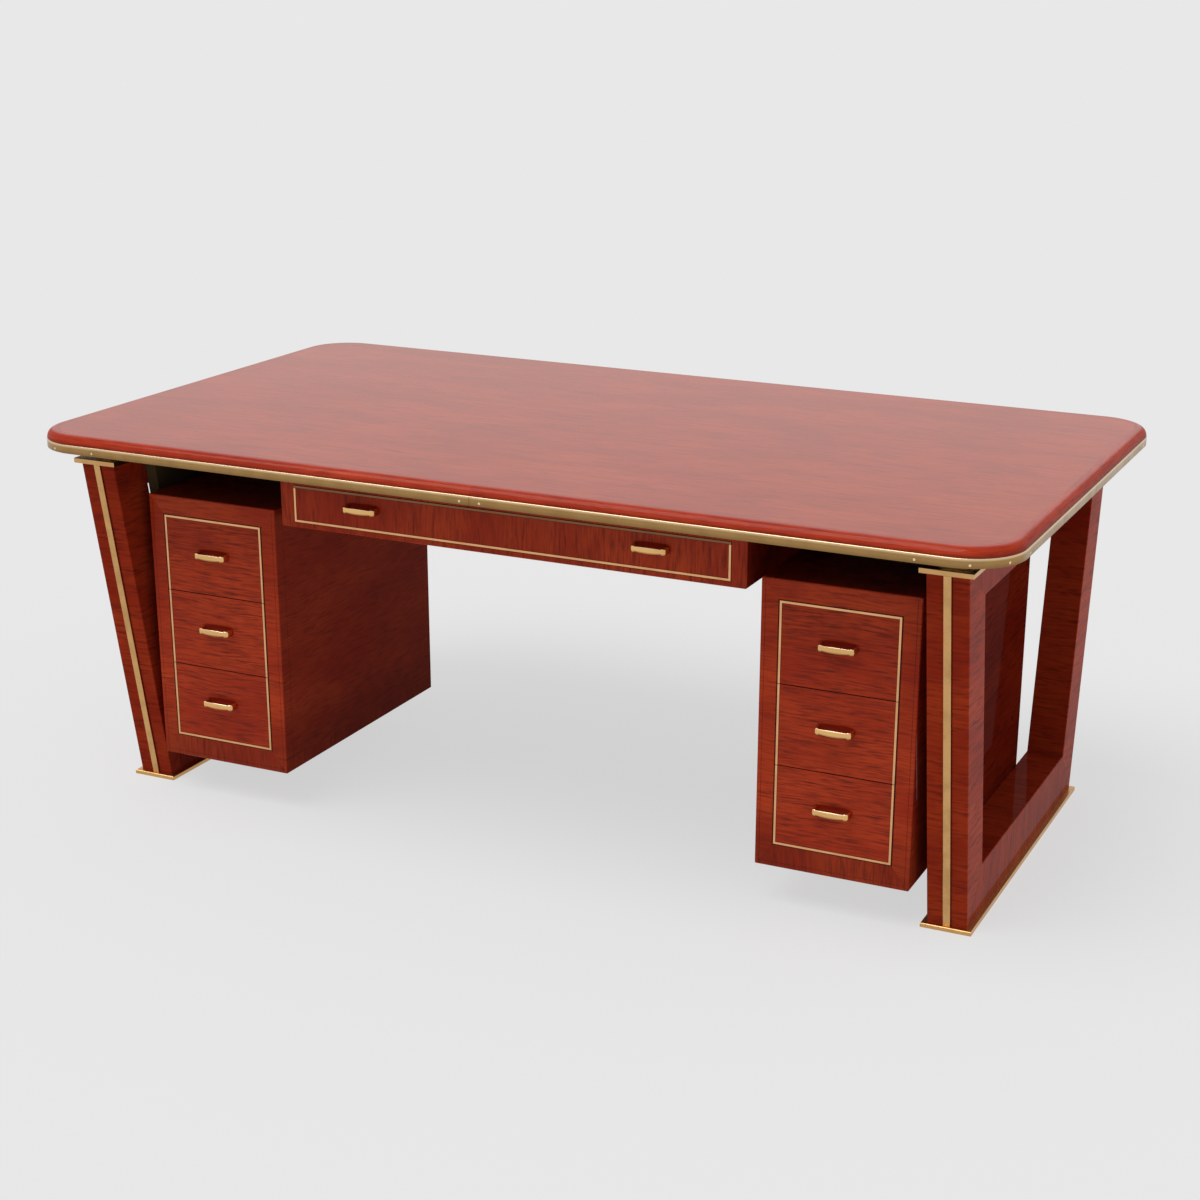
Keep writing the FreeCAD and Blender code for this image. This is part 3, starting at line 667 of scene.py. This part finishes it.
def build_brass_group():
    """Colour and roughness: a slow patina and fine polishing lines along the first axis."""
    group, given, result = new_group(
        "old_brass",
        {"Vector": ["Vector"], "Color": ["Bright", "Dull"], "Float": ["Patina", "Gloss"]},
        {"Color": ["Color"], "Float": ["Roughness", "Height"]})
    patina = step_between(group, noise(group, given["Vector"], PATINA_SCALE, 4.0), *PATINA_RANGE)
    lines = grain_noise(group, given["Vector"], POLISHING_STRETCH)
    share = times(group, patina, given["Patina"])
    share = math_node(group, "ADD", share, times(group, lines, POLISHING_SHARE), clamp=True)
    gloss = math_node(group, "MULTIPLY_ADD", share, PATINA_DULLING, given["Gloss"])
    set_inputs(group, result, {"Color": mix_colour(group, share, given["Bright"], given["Dull"]),
                               "Roughness": gloss, "Height": lines})
    return group


brass_group = build_brass_group()


def brass(name, axes, tones, patina=0.5, gloss=0.22, light_marks=()):
    """Old brass; each of the light marks paints light or shade: a function that makes a mask in the
    material's tree, a share and a colour.
    """
    material, tree, shader = new_material(name)
    inputs = {"Vector": grain_vector(tree, axes), "Patina": patina, "Gloss": gloss, **tones}
    made = place_group(tree, brass_group, inputs)
    colour = made["Color"]
    for mask, share, tone in light_marks:
        colour = lay_over(tree, colour, mask(tree), share, tone)
    set_inputs(tree, shader, {"Base Color": colour, "Roughness": made["Roughness"], "Metallic": 1.0,
                              "Normal": bump(tree, made["Height"], *POLISHING_BUMP)})
    return material


def between_levels(start, stop):
    """A mask for painted light or shade that grows from one height to another, as a function that makes it.
    """
    return lambda tree: step_between(tree, own_parts(tree)["Z"], start, stop)


line_brass = brass("line_brass", "XYZ", LINE_BRASS)
plate_brass = brass("plate_brass", "YXZ", BAR_BRASS, patina=0.3, gloss=0.32)
strip_brass = brass("strip_brass", "ZXY", BAR_BRASS, patina=0.6)
line_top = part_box("centre_drawer_trim")[1].z
# Painted shadow of the top's overhang on the upper brass line
upper_line_shadow = between_levels(*(line_top - depth for depth in LINE_SHADOW_DEPTHS))
centre_line_shaded_brass = brass("centre_line_shaded_brass", "XYZ", LINE_BRASS,
                          light_marks=((upper_line_shadow, LINE_SHADOW_SHARE, LINE_SHADOW_TONE),))
finish_nodes(line_brass, *(drawer + "_trim" for drawer in DRAWERS))
finish_nodes(centre_line_shaded_brass, "centre_drawer_trim")
finish_nodes(plate_brass, "left_foot_plate", "right_foot_plate", "top_plates")
finish_nodes(strip_brass, "post_strips")
print("brass materials:", line_brass.name, plate_brass.name, strip_brass.name)

# %% [markdown]
# ## Hidden wood and steel
#
# Inside, the trays and runners are plain pale wood under a thin satin varnish. The
# risers between the frames' top plates and the top are paler still. The hanging blocks
# are painted nearly black as painted shade, so that they vanish in the shaded gap over
# the pedestals, and the bolts are plated steel. The wood uses the veneer group again
# with its own colours, and no clear coat.

# %% Plain wood and steel
TRAY_COLOURS = wood_tones((0.21, 0.105, 0.048), (0.42, 0.245, 0.125), (0.52, 0.33, 0.18))
RISER_COLOURS = wood_tones((0.38, 0.25, 0.12), (0.56, 0.4, 0.21), (0.64, 0.47, 0.26))
# Near-black painted shade for the hanging blocks
HANGER_SHADE_COLOURS = wood_tones((0.008, 0.0045, 0.003), (0.014, 0.007, 0.0045), (0.022, 0.011, 0.0065))
VARNISH_SPECULAR, VARNISH_GLOSS, VARNISH_BUMP = 0.3, (0.6, 0.42), (0.15, 0.5 * MM)
ZINC_SCALE, ZINC_GLOSS = 180.0, (0.30, 0.45)
DULL_ZINC, BRIGHT_ZINC = (0.40, 0.40, 0.41, 1.0), (0.62, 0.62, 0.63, 1.0)


def plain_wood(name, axes, colours):
    material, tree, shader = new_material(name)
    colour, height = veneer(tree, grain_vector(tree, axes), 0.4, scale=0.8, colours=colours)
    set_inputs(tree, shader, {"Base Color": colour, "Specular IOR Level": VARNISH_SPECULAR})
    relief(tree, shader, height, VARNISH_GLOSS, *VARNISH_BUMP)
    return material


def plated_steel(name):
    material, tree, shader = new_material(name)
    cloud = noise(tree, grain_vector(tree, "ZXY"), ZINC_SCALE)
    set_inputs(tree, shader, {"Base Color": mix_colour(tree, cloud, DULL_ZINC, BRIGHT_ZINC),
                              "Metallic": 1.0, "Roughness": spread(tree, cloud, *ZINC_GLOSS)})
    return material


tray_wood = plain_wood("tray_wood", "YZX", TRAY_COLOURS)
finish_nodes(tray_wood, "drawer_runners", *(drawer + "_tray" for drawer in DRAWERS + ["centre_drawer"]))
finish_nodes(plain_wood("riser_wood", "YZX", RISER_COLOURS), "risers")
finish_nodes(plain_wood("hanger_shade_wood", "XZY", HANGER_SHADE_COLOURS), "pedestal_hangers")
finish_nodes(plated_steel("bolt_steel"), "mounting_bolts")
print("hidden finishes done")

# %% [markdown]
# ## Surfaces from arrays
#
# Every new piece is a grid of points worked out with numpy: rows follow a path and
# columns follow a section. One function turns such grids into a mesh. It also writes
# a UV map, in metres where lengths are given, so that a pattern can follow the surface,
# and merges the points that meet at a seam or a pole.

# %% Grid to mesh
MERGE_DISTANCE = 1e-6
SHARP_ANGLE = 40.0


def skin(name, points, along=None, around=None, ends=False):
    """Mesh of one or more grids of points, shaped (grids, rows, columns, 3), quads between neighbours.

    along and around are the rows' and columns' lengths, and become the UV map (0 to 1 without them).
    ends closes the first and last rows of each grid with a flat face.
    """
    count, rows, columns = points.shape[:3]
    if along is None:
        along, around = np.linspace(0, 1, rows), np.linspace(0, 1, columns)
    index = np.arange(count * rows * columns).reshape(count, rows, columns)
    quads = np.stack([index[:, :-1, :-1], index[:, 1:, :-1], index[:, 1:, 1:], index[:, :-1, 1:]], axis=-1)
    faces = quads.reshape(-1, 4).tolist()
    if ends:
        faces += index[:, 0, :-1].tolist() + index[:, -1, :-1][:, ::-1].tolist()
    mesh = bpy.data.meshes.new(name)
    mesh.from_pydata(points.reshape(-1, 3).tolist(), [], faces)
    corner = np.zeros(len(mesh.loops), np.int32)
    mesh.loops.foreach_get("vertex_index", corner)
    place = corner % (rows * columns)
    uv = np.stack([along[place // columns], around[place % columns]], axis=-1)
    mesh.uv_layers.new(name="surface").data.foreach_set("uv", uv.astype(np.float32).ravel())
    work = bmesh.new()
    work.from_mesh(mesh)
    bmesh.ops.remove_doubles(work, verts=work.verts, dist=MERGE_DISTANCE)
    bmesh.ops.recalc_face_normals(work, faces=work.faces)
    work.to_mesh(mesh)
    work.free()
    mesh.shade_smooth()
    mesh.set_sharp_from_angle(angle=math.radians(SHARP_ANGLE))
    return add_object(name, mesh)


def lengths(points):
    """Running length along a row of points."""
    steps = np.linalg.norm(np.diff(points, axis=0), axis=1)
    return np.concatenate([[0.0], np.cumsum(steps)])


def dress(piece, body, material, slot, *stands_for):
    """Give the piece its finish, let it ride on its body, and hide the CAD nodes that it stands for."""
    piece.data.materials.append(material)
    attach(piece, body)
    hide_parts(*stands_for)
    print(piece.name, len(piece.data.polygons), "faces")


# %% [markdown]
# ## The desktop's plan
#
# The plan is a rectangle with large round corners. As a path it is a list of points
# with the outward direction at each; a surface that follows the edge is then the
# path pushed in or out by a section. On the straight runs the direction is constant,
# and on a corner it turns through a right angle.

# %% Plan path
band_low, band_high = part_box("edge_band")
CORNER_RADIUS = 105 * MM
CORNER_STEPS = 40


def plan_path():
    """Closed path from the middle of the front, to the right: corner centre plus radius times direction."""
    half = np.array([band_high.x - CORNER_RADIUS, band_high.y - CORNER_RADIUS])
    turns = np.linspace(0, math.pi / 2, CORNER_STEPS + 1)
    starts = np.radians([-90, 0, 90, 180])
    angle = (starts[:, None] + turns[None, :]).ravel()
    direction = np.stack([np.cos(angle), np.sin(angle)], axis=-1)
    signs = np.repeat(np.array([[1, -1], [1, 1], [-1, 1], [-1, -1]]), CORNER_STEPS + 1, axis=0)
    points = signs * half + CORNER_RADIUS * direction
    middle = np.array([[0.0, band_low.y]])
    points = np.concatenate([middle, points, middle])
    direction = np.concatenate([[[0.0, -1.0]], direction, [[0.0, -1.0]]])
    return points, direction


def along_plan(points, direction, section):
    """Carry a section (outward offset, height) along the plan: point + direction x offset, at the height."""
    flat = points[:, None, :] + direction[:, None, :] * section[None, :, :1]
    height = np.broadcast_to(section[None, :, 1:], flat.shape[:2] + (1,))
    return np.concatenate([flat, height], axis=-1)


plan_points, plan_direction = plan_path()
plan_length = lengths(plan_points)
print("edge length in metres:", round(float(plan_length[-1]), 3))

# %% [markdown]
# ## Rolled edge
#
# The top's edge is a solid lipping, rounded over above the brass band. On the real
# desk its grain runs along the edge, in long dark streaks. The section is a quarter
# circle with short flats, carried along the plan; the UV map lets the grain follow the
# edge round the corners. The wood just above the band is darkened with painted shade,
# for the darker reflection on the upright part of the roll. Hands have worn the clear
# coat thin on the roll, so it is full only where the lipping is level with the top.

# %% Rolled edge
edge_low, edge_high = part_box("desktop_edge")
LIPPING = 24 * MM
ROLL = 16 * MM
BAND_BACK = 4.1 * MM
EDGE_OFFSET = -1 * MM
ROLL_STEPS = 20
EDGE_COAT, EDGE_IOR = 0.3, 1.45
EDGE_COLOURS = wood_tones((0.24, 0.015, 0.0045), (0.4, 0.029, 0.0075), (0.5, 0.046, 0.0115))
# Share and reach of the painted shade on the roll just above the band
EDGE_SHADE_SHARE = 0.5
EDGE_SHADE_REACH = 7 * MM
FULL_COAT_DEPTHS = (2 * MM, 0.3 * MM)


def roll_section():
    """Closed section of the lipping: underside, step behind the band, quarter-circle roll and inner face."""
    quarter = np.linspace(0, math.pi / 2, ROLL_STEPS + 1)
    roll_x = EDGE_OFFSET - ROLL + ROLL * np.cos(quarter)
    roll_z = edge_high.z - ROLL + ROLL * np.sin(quarter)
    before = [(-LIPPING, edge_low.z), (-BAND_BACK, edge_low.z), (-BAND_BACK, band_high.z),
              (EDGE_OFFSET, band_high.z)]
    after = [(-LIPPING, edge_high.z), (-LIPPING, edge_low.z)]
    return np.concatenate([before, np.stack([roll_x, roll_z], axis=-1), after])


def edge_veneer(name):
    """Lacquered lipping: the grain runs along the edge, in the UV map's first axis."""
    material, tree, shader = new_material(name)
    place = add_node(tree, "ShaderNodeUVMap", uv_map="surface").outputs["UV"]
    colour, height = veneer(tree, place, 0.6, colours=EDGE_COLOURS)
    level = own_parts(tree)["Z"]
    # Painted shade and reflection: the roll darkens just above the band
    band_edge_shade = step_between(tree, level, band_high.z + EDGE_SHADE_REACH, band_high.z)
    colour = lay_over(tree, colour, band_edge_shade, EDGE_SHADE_SHARE, JOINT_AND_SHADE_DARK)
    polish(tree, shader, colour, height, EDGE_COAT, EDGE_IOR)
    flat = step_between(tree, level, *(edge_high.z - depth for depth in FULL_COAT_DEPTHS))
    clear = math_node(tree, "MULTIPLY_ADD", flat, FULL_COAT - EDGE_COAT, EDGE_COAT)
    tree.links.new(clear, shader.inputs["Coat Weight"])
    return material


section = roll_section()
edge_grid = along_plan(plan_points, plan_direction, section)
rolled_edge = skin("rolled_edge", edge_grid[None], plan_length, lengths(section))
dress(rolled_edge, "desk", edge_veneer("lipping_lacquer"), "lacquered_wood", "desktop_edge")

# %% [markdown]
# ## Brass band
#
# The band is a flat brass bar bent round the lower half of the edge, in two lengths
# that meet at the middle of the front and of the back. Its upper outer edge is
# rounded, and a painted highlight along it stands for the thin line of light that it
# catches; its foot is darkened with painted shade. The same plan path carries its
# section; each length is closed by flat ends at the joints.

# %% Brass band
BAND_THICKNESS = 4 * MM
BAND_ROUND = 1.5 * MM
BAND_FOOT_ROUND = 0.6 * MM
BAND_JOINT = 0.6 * MM
ROUND_STEPS = 6
# Reach and share of the painted shade at the band's foot, then of the painted highlight on its lip
BAND_SHADE_REACH, BAND_SHADE_SHARE = 9 * MM, 0.55
LIP_HIGHLIGHT_DEPTHS, LIP_HIGHLIGHT_SHARE = (6 * MM, 1 * MM), 0.65


def rounded_corner(centre_x, centre_z, radius, start):
    """Quarter circle of points about a centre, from the start angle on."""
    turn = np.radians(start) + np.linspace(0, math.pi / 2, ROUND_STEPS + 1)
    return np.stack([centre_x + radius * np.cos(turn), centre_z + radius * np.sin(turn)], axis=-1)


def band_section():
    """Closed bar section: flat face outside, rounded at its top and eased at its foot."""
    foot = rounded_corner(-BAND_FOOT_ROUND, band_low.z + BAND_FOOT_ROUND, BAND_FOOT_ROUND, -90)
    lip = rounded_corner(-BAND_ROUND, band_high.z - BAND_ROUND, BAND_ROUND, 0)
    inside = [(-BAND_THICKNESS, band_high.z), (-BAND_THICKNESS, band_low.z)]
    return np.concatenate([foot, lip, inside, foot[:1]])


def half_plan(side):
    """The path of one length, in the plan's order: a joint, the two corners of one side, a joint."""
    corners = 2 * (CORNER_STEPS + 1)
    start = 1 if side > 0 else 1 + corners
    chosen = slice(start, start + corners)
    joints = [(side * BAND_JOINT / 2, y) for y in (band_low.y, band_high.y)][::side]
    outward = [(0.0, -1.0), (0.0, 1.0)][::side]
    points = np.concatenate([joints[:1], plan_points[chosen], joints[1:]])
    direction = np.concatenate([outward[:1], plan_direction[chosen], outward[1:]])
    return points, direction


band_grids = [along_plan(*half_plan(side), band_section()) for side in (1, -1)]
band_run = lengths(half_plan(1)[0])
brass_band = skin("brass_band", np.stack(band_grids), band_run, lengths(band_section()), ends=True)
# Painted shade at the foot and a painted highlight along the lip
band_foot_shade = between_levels(band_low.z + BAND_SHADE_REACH, band_low.z)
lip_highlight = between_levels(*(band_high.z - depth for depth in LIP_HIGHLIGHT_DEPTHS))
band_light_and_shade = ((band_foot_shade, BAND_SHADE_SHARE, SHADED_BRASS), (lip_highlight, LIP_HIGHLIGHT_SHARE, PALE_HIGHLIGHT_BRASS))
band_finish = brass("band_brass", "XYZ", BAND_BRASS, 0.4, light_marks=band_light_and_shade)
dress(brass_band, "desk", band_finish, "brass", "edge_band")

# %% [markdown]
# ## Band pins
#
# Small round-headed pins hold the band: a pair beside each joint, and four at each
# corner, one before the bend, two on it and one past it. A head is a shallow dome, so
# its height falls with the square of the distance from its middle. One array holds
# all the domes at once: each is the same dome, turned to face outwards where the pin
# sits.

# %% Band pins
PIN_RADIUS = 2.2 * MM
PIN_HEIGHT = 0.8 * MM
PIN_FROM_JOINT = 20 * MM
PIN_BEFORE_BEND = 55 * MM
PIN_PAST_BEND = 19 * MM
BEND_PINS = (20.4, 59.5)
PIN_LEVEL = 5.8 * MM
PIN_RINGS = 5
PIN_SPOKES = 16


def pin_places():
    """Points on the band's face, with their outward directions: one corner's pins, mirrored to all four."""
    level = band_low.z + PIN_LEVEL
    angle = np.radians(90 - np.array(BEND_PINS))
    bend = np.stack([np.cos(angle), np.sin(angle), 0 * angle], axis=-1)
    centre = np.array([band_high.x - CORNER_RADIUS, band_high.y - CORNER_RADIUS, level])
    straight = np.array([[PIN_FROM_JOINT, band_high.y, level],
                         [centre[0] - PIN_BEFORE_BEND, band_high.y, level],
                         [band_high.x, centre[1] - PIN_PAST_BEND, level]])
    places = np.concatenate([centre + CORNER_RADIUS * bend, straight])
    outward = np.concatenate([bend, [[0.0, 1.0, 0.0], [0.0, 1.0, 0.0], [1.0, 0.0, 0.0]]])
    mirrors = np.array([[x, y, 1] for x in (1, -1) for y in (1, -1)])
    return ((places * mirrors[:, None]).reshape(-1, 3), (outward * mirrors[:, None]).reshape(-1, 3))


def dome_grids(places, outward):
    """Domes: place + across x r cos + up x r sin + outward x height (1 - (r / radius) squared)."""
    ring = np.linspace(0, 1, PIN_RINGS)[:, None]
    turn = np.linspace(0, 2 * math.pi, PIN_SPOKES + 1)[None, :]
    flat = np.stack([ring * np.cos(turn), ring * np.sin(turn)]) * PIN_RADIUS
    rise = PIN_HEIGHT * (1 - ring ** 2) + 0 * turn
    up = np.array([0.0, 0.0, 1.0])
    across = np.cross(up, outward)
    grids = places[:, None, None, :] + across[:, None, None, :] * flat[0][None, :, :, None]
    grids = grids + up * flat[1][None, :, :, None]
    return grids + outward[:, None, None, :] * rise[None, :, :, None]


places, outward = pin_places()
band_pins = skin("band_pins", dome_grids(places, outward))
PIN_BRASS = {"Bright": PALE_HIGHLIGHT_BRASS, "Dull": LINE_BRASS["Bright"]}
band_pins.data.materials.append(brass("pin_brass", "XYZ", PIN_BRASS, patina=0.3, gloss=0.15))
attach(band_pins, "desk")
print("pins:", len(places))

# %% [markdown]
# ## Bow handles
#
# Each pull is a brass bar, bowed a little outwards and tallest in its middle, whose
# ends turn back to the drawer front as legs, with a knuckle at each bend. It is one
# profile carried along a U-shaped path: out of the front, round a tight bend, along
# the bow and back. The profile is a rounded rectangle (a superellipse) whose height
# and thickness change along the path, so bar, knuckle and leg are one smooth surface.
# A painted highlight runs along the upper edge and painted shade along the lower edge;
# the UV map's second axis says where round the profile a point lies.

# %% Handles
HANDLE_BOW = 3 * MM
LEG_HALF = (3.5 * MM, 6.5 * MM)
BAR_HALF = (2.5 * MM, 6.2 * MM)
NECK_HALF = 4.9 * MM
BEND_RADIUS = 3.6 * MM
KNUCKLE_LENGTH = 7.5 * MM
KNUCKLE_BLEND = 1.2 * MM
SECTION_POWER = 0.55
SECTION_UV = 0.04
# Places, reaches and shares of the painted highlight on the upper edge and the painted shade on the lower
# edge
UPPER_EDGE, UPPER_REACH, UPPER_HIGHLIGHT_SHARE = SECTION_UV / 6, SECTION_UV / 10, 0.9
LOWER_EDGE, LOWER_REACH, LOWER_SHADE_SHARE = SECTION_UV * 0.86, SECTION_UV / 8, 0.6
LEG_STEPS, BEND_STEPS, BAR_STEPS, SECTION_STEPS = 6, 12, 40, 32


def handle_path(length, reach):
    """Half the U from the leg's foot to the bar's middle, mirrored: leg, quarter bend, then a shallow arc."""
    end = length / 2 - LEG_HALF[0]
    depth = reach - HANDLE_BOW - BAR_HALF[0]
    leg = np.stack([np.full(LEG_STEPS, -end), np.linspace(0, depth - BEND_RADIUS, LEG_STEPS)], axis=-1)
    turn = np.linspace(0, math.pi / 2, BEND_STEPS + 1)[1:]
    bend = BEND_RADIUS * np.stack([1 - np.cos(turn), np.sin(turn) - 1], axis=-1) + [-end, depth]
    share = np.linspace(0, 1, BAR_STEPS // 2 + 1)[1:]
    start = bend[-1, 0]
    bow = np.stack([start * (1 - share), depth + HANDLE_BOW * (1 - (1 - share) ** 2)], axis=-1)
    half = np.concatenate([leg, bend, bow])
    return np.concatenate([half, half[-2::-1] * [-1, 1]])


def handle_grid(length, reach):
    """Superellipse sections square to the path; the half height dips after the knuckle and swells again."""
    path = handle_path(length, reach)
    run = lengths(path)
    tangent = np.gradient(path, run, axis=0)
    tangent /= np.linalg.norm(tangent, axis=1, keepdims=True)
    square = np.stack([-tangent[:, 1], tangent[:, 0]], axis=-1)
    bend_start = run[LEG_STEPS + BEND_STEPS - 1] - BEND_RADIUS * math.pi / 2
    knuckle_end = bend_start + KNUCKLE_LENGTH
    nearest = np.minimum(run, run[-1] - run)
    blend = np.clip((nearest - knuckle_end) / KNUCKLE_BLEND, 0, 1)
    blend = (blend * blend * (3 - 2 * blend))[:, None]
    to_middle = np.clip((nearest - knuckle_end) / (run[-1] / 2 - knuckle_end), 0, 1)
    bar_height = NECK_HALF + (BAR_HALF[1] - NECK_HALF) * (1 - (1 - to_middle) ** 2)
    bar_half = np.stack([np.full_like(bar_height, BAR_HALF[0]), bar_height], axis=-1)
    half = np.array(LEG_HALF) * (1 - blend) + bar_half * blend
    turn = np.linspace(0, 2 * math.pi, SECTION_STEPS + 1)
    across = np.sign(np.cos(turn)) * np.abs(np.cos(turn)) ** SECTION_POWER
    upward = np.sign(np.sin(turn)) * np.abs(np.sin(turn)) ** SECTION_POWER
    flat = path[:, None, :] + square[:, None, :] * (half[:, :1] * across)[..., None]
    return np.concatenate([flat, (half[:, 1:] * upward)[..., None]], axis=-1), run


def place_handles(node, body, centres):
    """Set one handle grid on the drawer front at each centre: x along, y outwards from the front, z up."""
    low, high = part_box(node)
    grid, run = handle_grid(2 * (high.x - max(centres)), high.y - low.y)
    middle = (low.z + high.z) / 2
    grids = [[x, high.y, middle] + grid * [1, -1, 1] for x in centres]
    around = np.linspace(0, SECTION_UV, SECTION_STEPS + 1)
    piece = skin(node + "_bow", np.stack(grids), run, around, ends=True)
    dress(piece, body, handle_brass, "brass", node)


def near_section(middle, reach):
    """Painted light or shade near one place round the profile, as a function that makes its mask."""
    def mask(tree):
        turn = parts_of(tree, add_node(tree, "ShaderNodeUVMap", uv_map="surface").outputs["UV"])["Y"]
        off = math_node(tree, "ABSOLUTE", math_node(tree, "SUBTRACT", turn, middle))
        return step_between(tree, off, reach, reach / 3)
    return mask


# Painted shade on the lower edge, painted highlight on the upper edge
pull_light_and_shade = ((near_section(LOWER_EDGE, LOWER_REACH), LOWER_SHADE_SHARE, SHADED_BRASS),
             (near_section(UPPER_EDGE, UPPER_REACH), UPPER_HIGHLIGHT_SHARE, PALE_HIGHLIGHT_BRASS))
handle_brass = brass("pull_brass", "XYZ", PULL_BRASS, 0.35, 0.16, pull_light_and_shade)
for drawer in DRAWERS:
    place_handles(drawer + "_handle", drawer, [pull_place(*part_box(drawer + "_handle"))[0]])
place_handles("centre_drawer_handles", "centre_drawer", [x for x, _ in centre_pulls])

# %% [markdown]
# ## Floor and light
#
# The photograph has an even pale ground with a soft shadow. A floor that reaches to
# the horizon fills the picture. The light comes from a dome that is brighter above
# than at the horizon, and from one very wide sun, so that the floor is lit evenly
# everywhere. Where the camera or a reflection sees them, floor and dome show the plain
# ground colour, and the floor keeps a share of its shadow.

# %% Floor and light
WHITE = (1.0, 1.0, 1.0, 1.0)
GROUND_TONE = (0.807, 0.807, 0.807, 1.0)
FLOOR_SIZE = 800.0
SHADOW_SHARE = 0.25
HORIZON_LIGHT, ZENITH_LIGHT = 0.30, 0.60
SUN_STRENGTH = 1.73
SUN_WIDTH = 45.0
SUN_HEIGHT = 65.0
SUN_HEADING = -40.0


def background_rays(tree):
    """1 for rays from the camera, and for reflected and refracted rays, which see the plain ground."""
    path = add_node(tree, "ShaderNodeLightPath").outputs
    seen = math_node(tree, "MAXIMUM", path["Is Camera Ray"], path["Is Glossy Ray"])
    return math_node(tree, "MAXIMUM", seen, path["Is Transmission Ray"])


def mix_shaders(tree, surface, share, first, second):
    mixed = add_node(tree, "ShaderNodeMixShader", {0: share, 1: first.outputs[0], 2: second.outputs[0]})
    tree.links.new(mixed.outputs[0], surface)


def add_floor():
    mesh = bpy.data.meshes.new("floor")
    half = FLOOR_SIZE / 2
    corners = [(-half, -half, 0), (half, -half, 0), (half, half, 0), (-half, half, 0)]
    mesh.from_pydata(corners, [], [(0, 1, 2, 3)])
    floor = add_object("floor", mesh)
    material = bpy.data.materials.new("pale_floor")
    tree, surface = empty_tree(material)
    shaded = add_node(tree, "ShaderNodeBsdfDiffuse", {"Color": GROUND_TONE})
    plain = add_node(tree, "ShaderNodeEmission", {"Color": GROUND_TONE, "Strength": 1.0})
    share = times(tree, background_rays(tree), 1.0 - SHADOW_SHARE)
    mix_shaders(tree, surface, share, shaded, plain)
    mesh.materials.append(material)


def add_world():
    world = bpy.data.worlds.new("studio")
    bpy.context.scene.world = world
    tree, surface = empty_tree(world, "ShaderNodeOutputWorld")
    direction = add_node(tree, "ShaderNodeTexCoord").outputs["Generated"]
    dome = spread(tree, parts_of(tree, direction)["Z"], HORIZON_LIGHT, ZENITH_LIGHT)
    light = add_node(tree, "ShaderNodeBackground", {"Color": WHITE, "Strength": dome})
    ground = add_node(tree, "ShaderNodeBackground", {"Color": GROUND_TONE, "Strength": 1.0})
    mix_shaders(tree, surface, background_rays(tree), light, ground)


def add_sun():
    data = bpy.data.lights.new("wide_sun", "SUN")
    data.energy = SUN_STRENGTH
    data.angle = math.radians(SUN_WIDTH)
    sun = add_object("wide_sun", data)
    sun.rotation_euler = (math.radians(90 - SUN_HEIGHT), 0.0, math.radians(SUN_HEADING))


add_floor()
add_world()
add_sun()
bpy.context.scene.view_settings.view_transform = "Standard"
print("lamps:", len(bpy.data.lights))
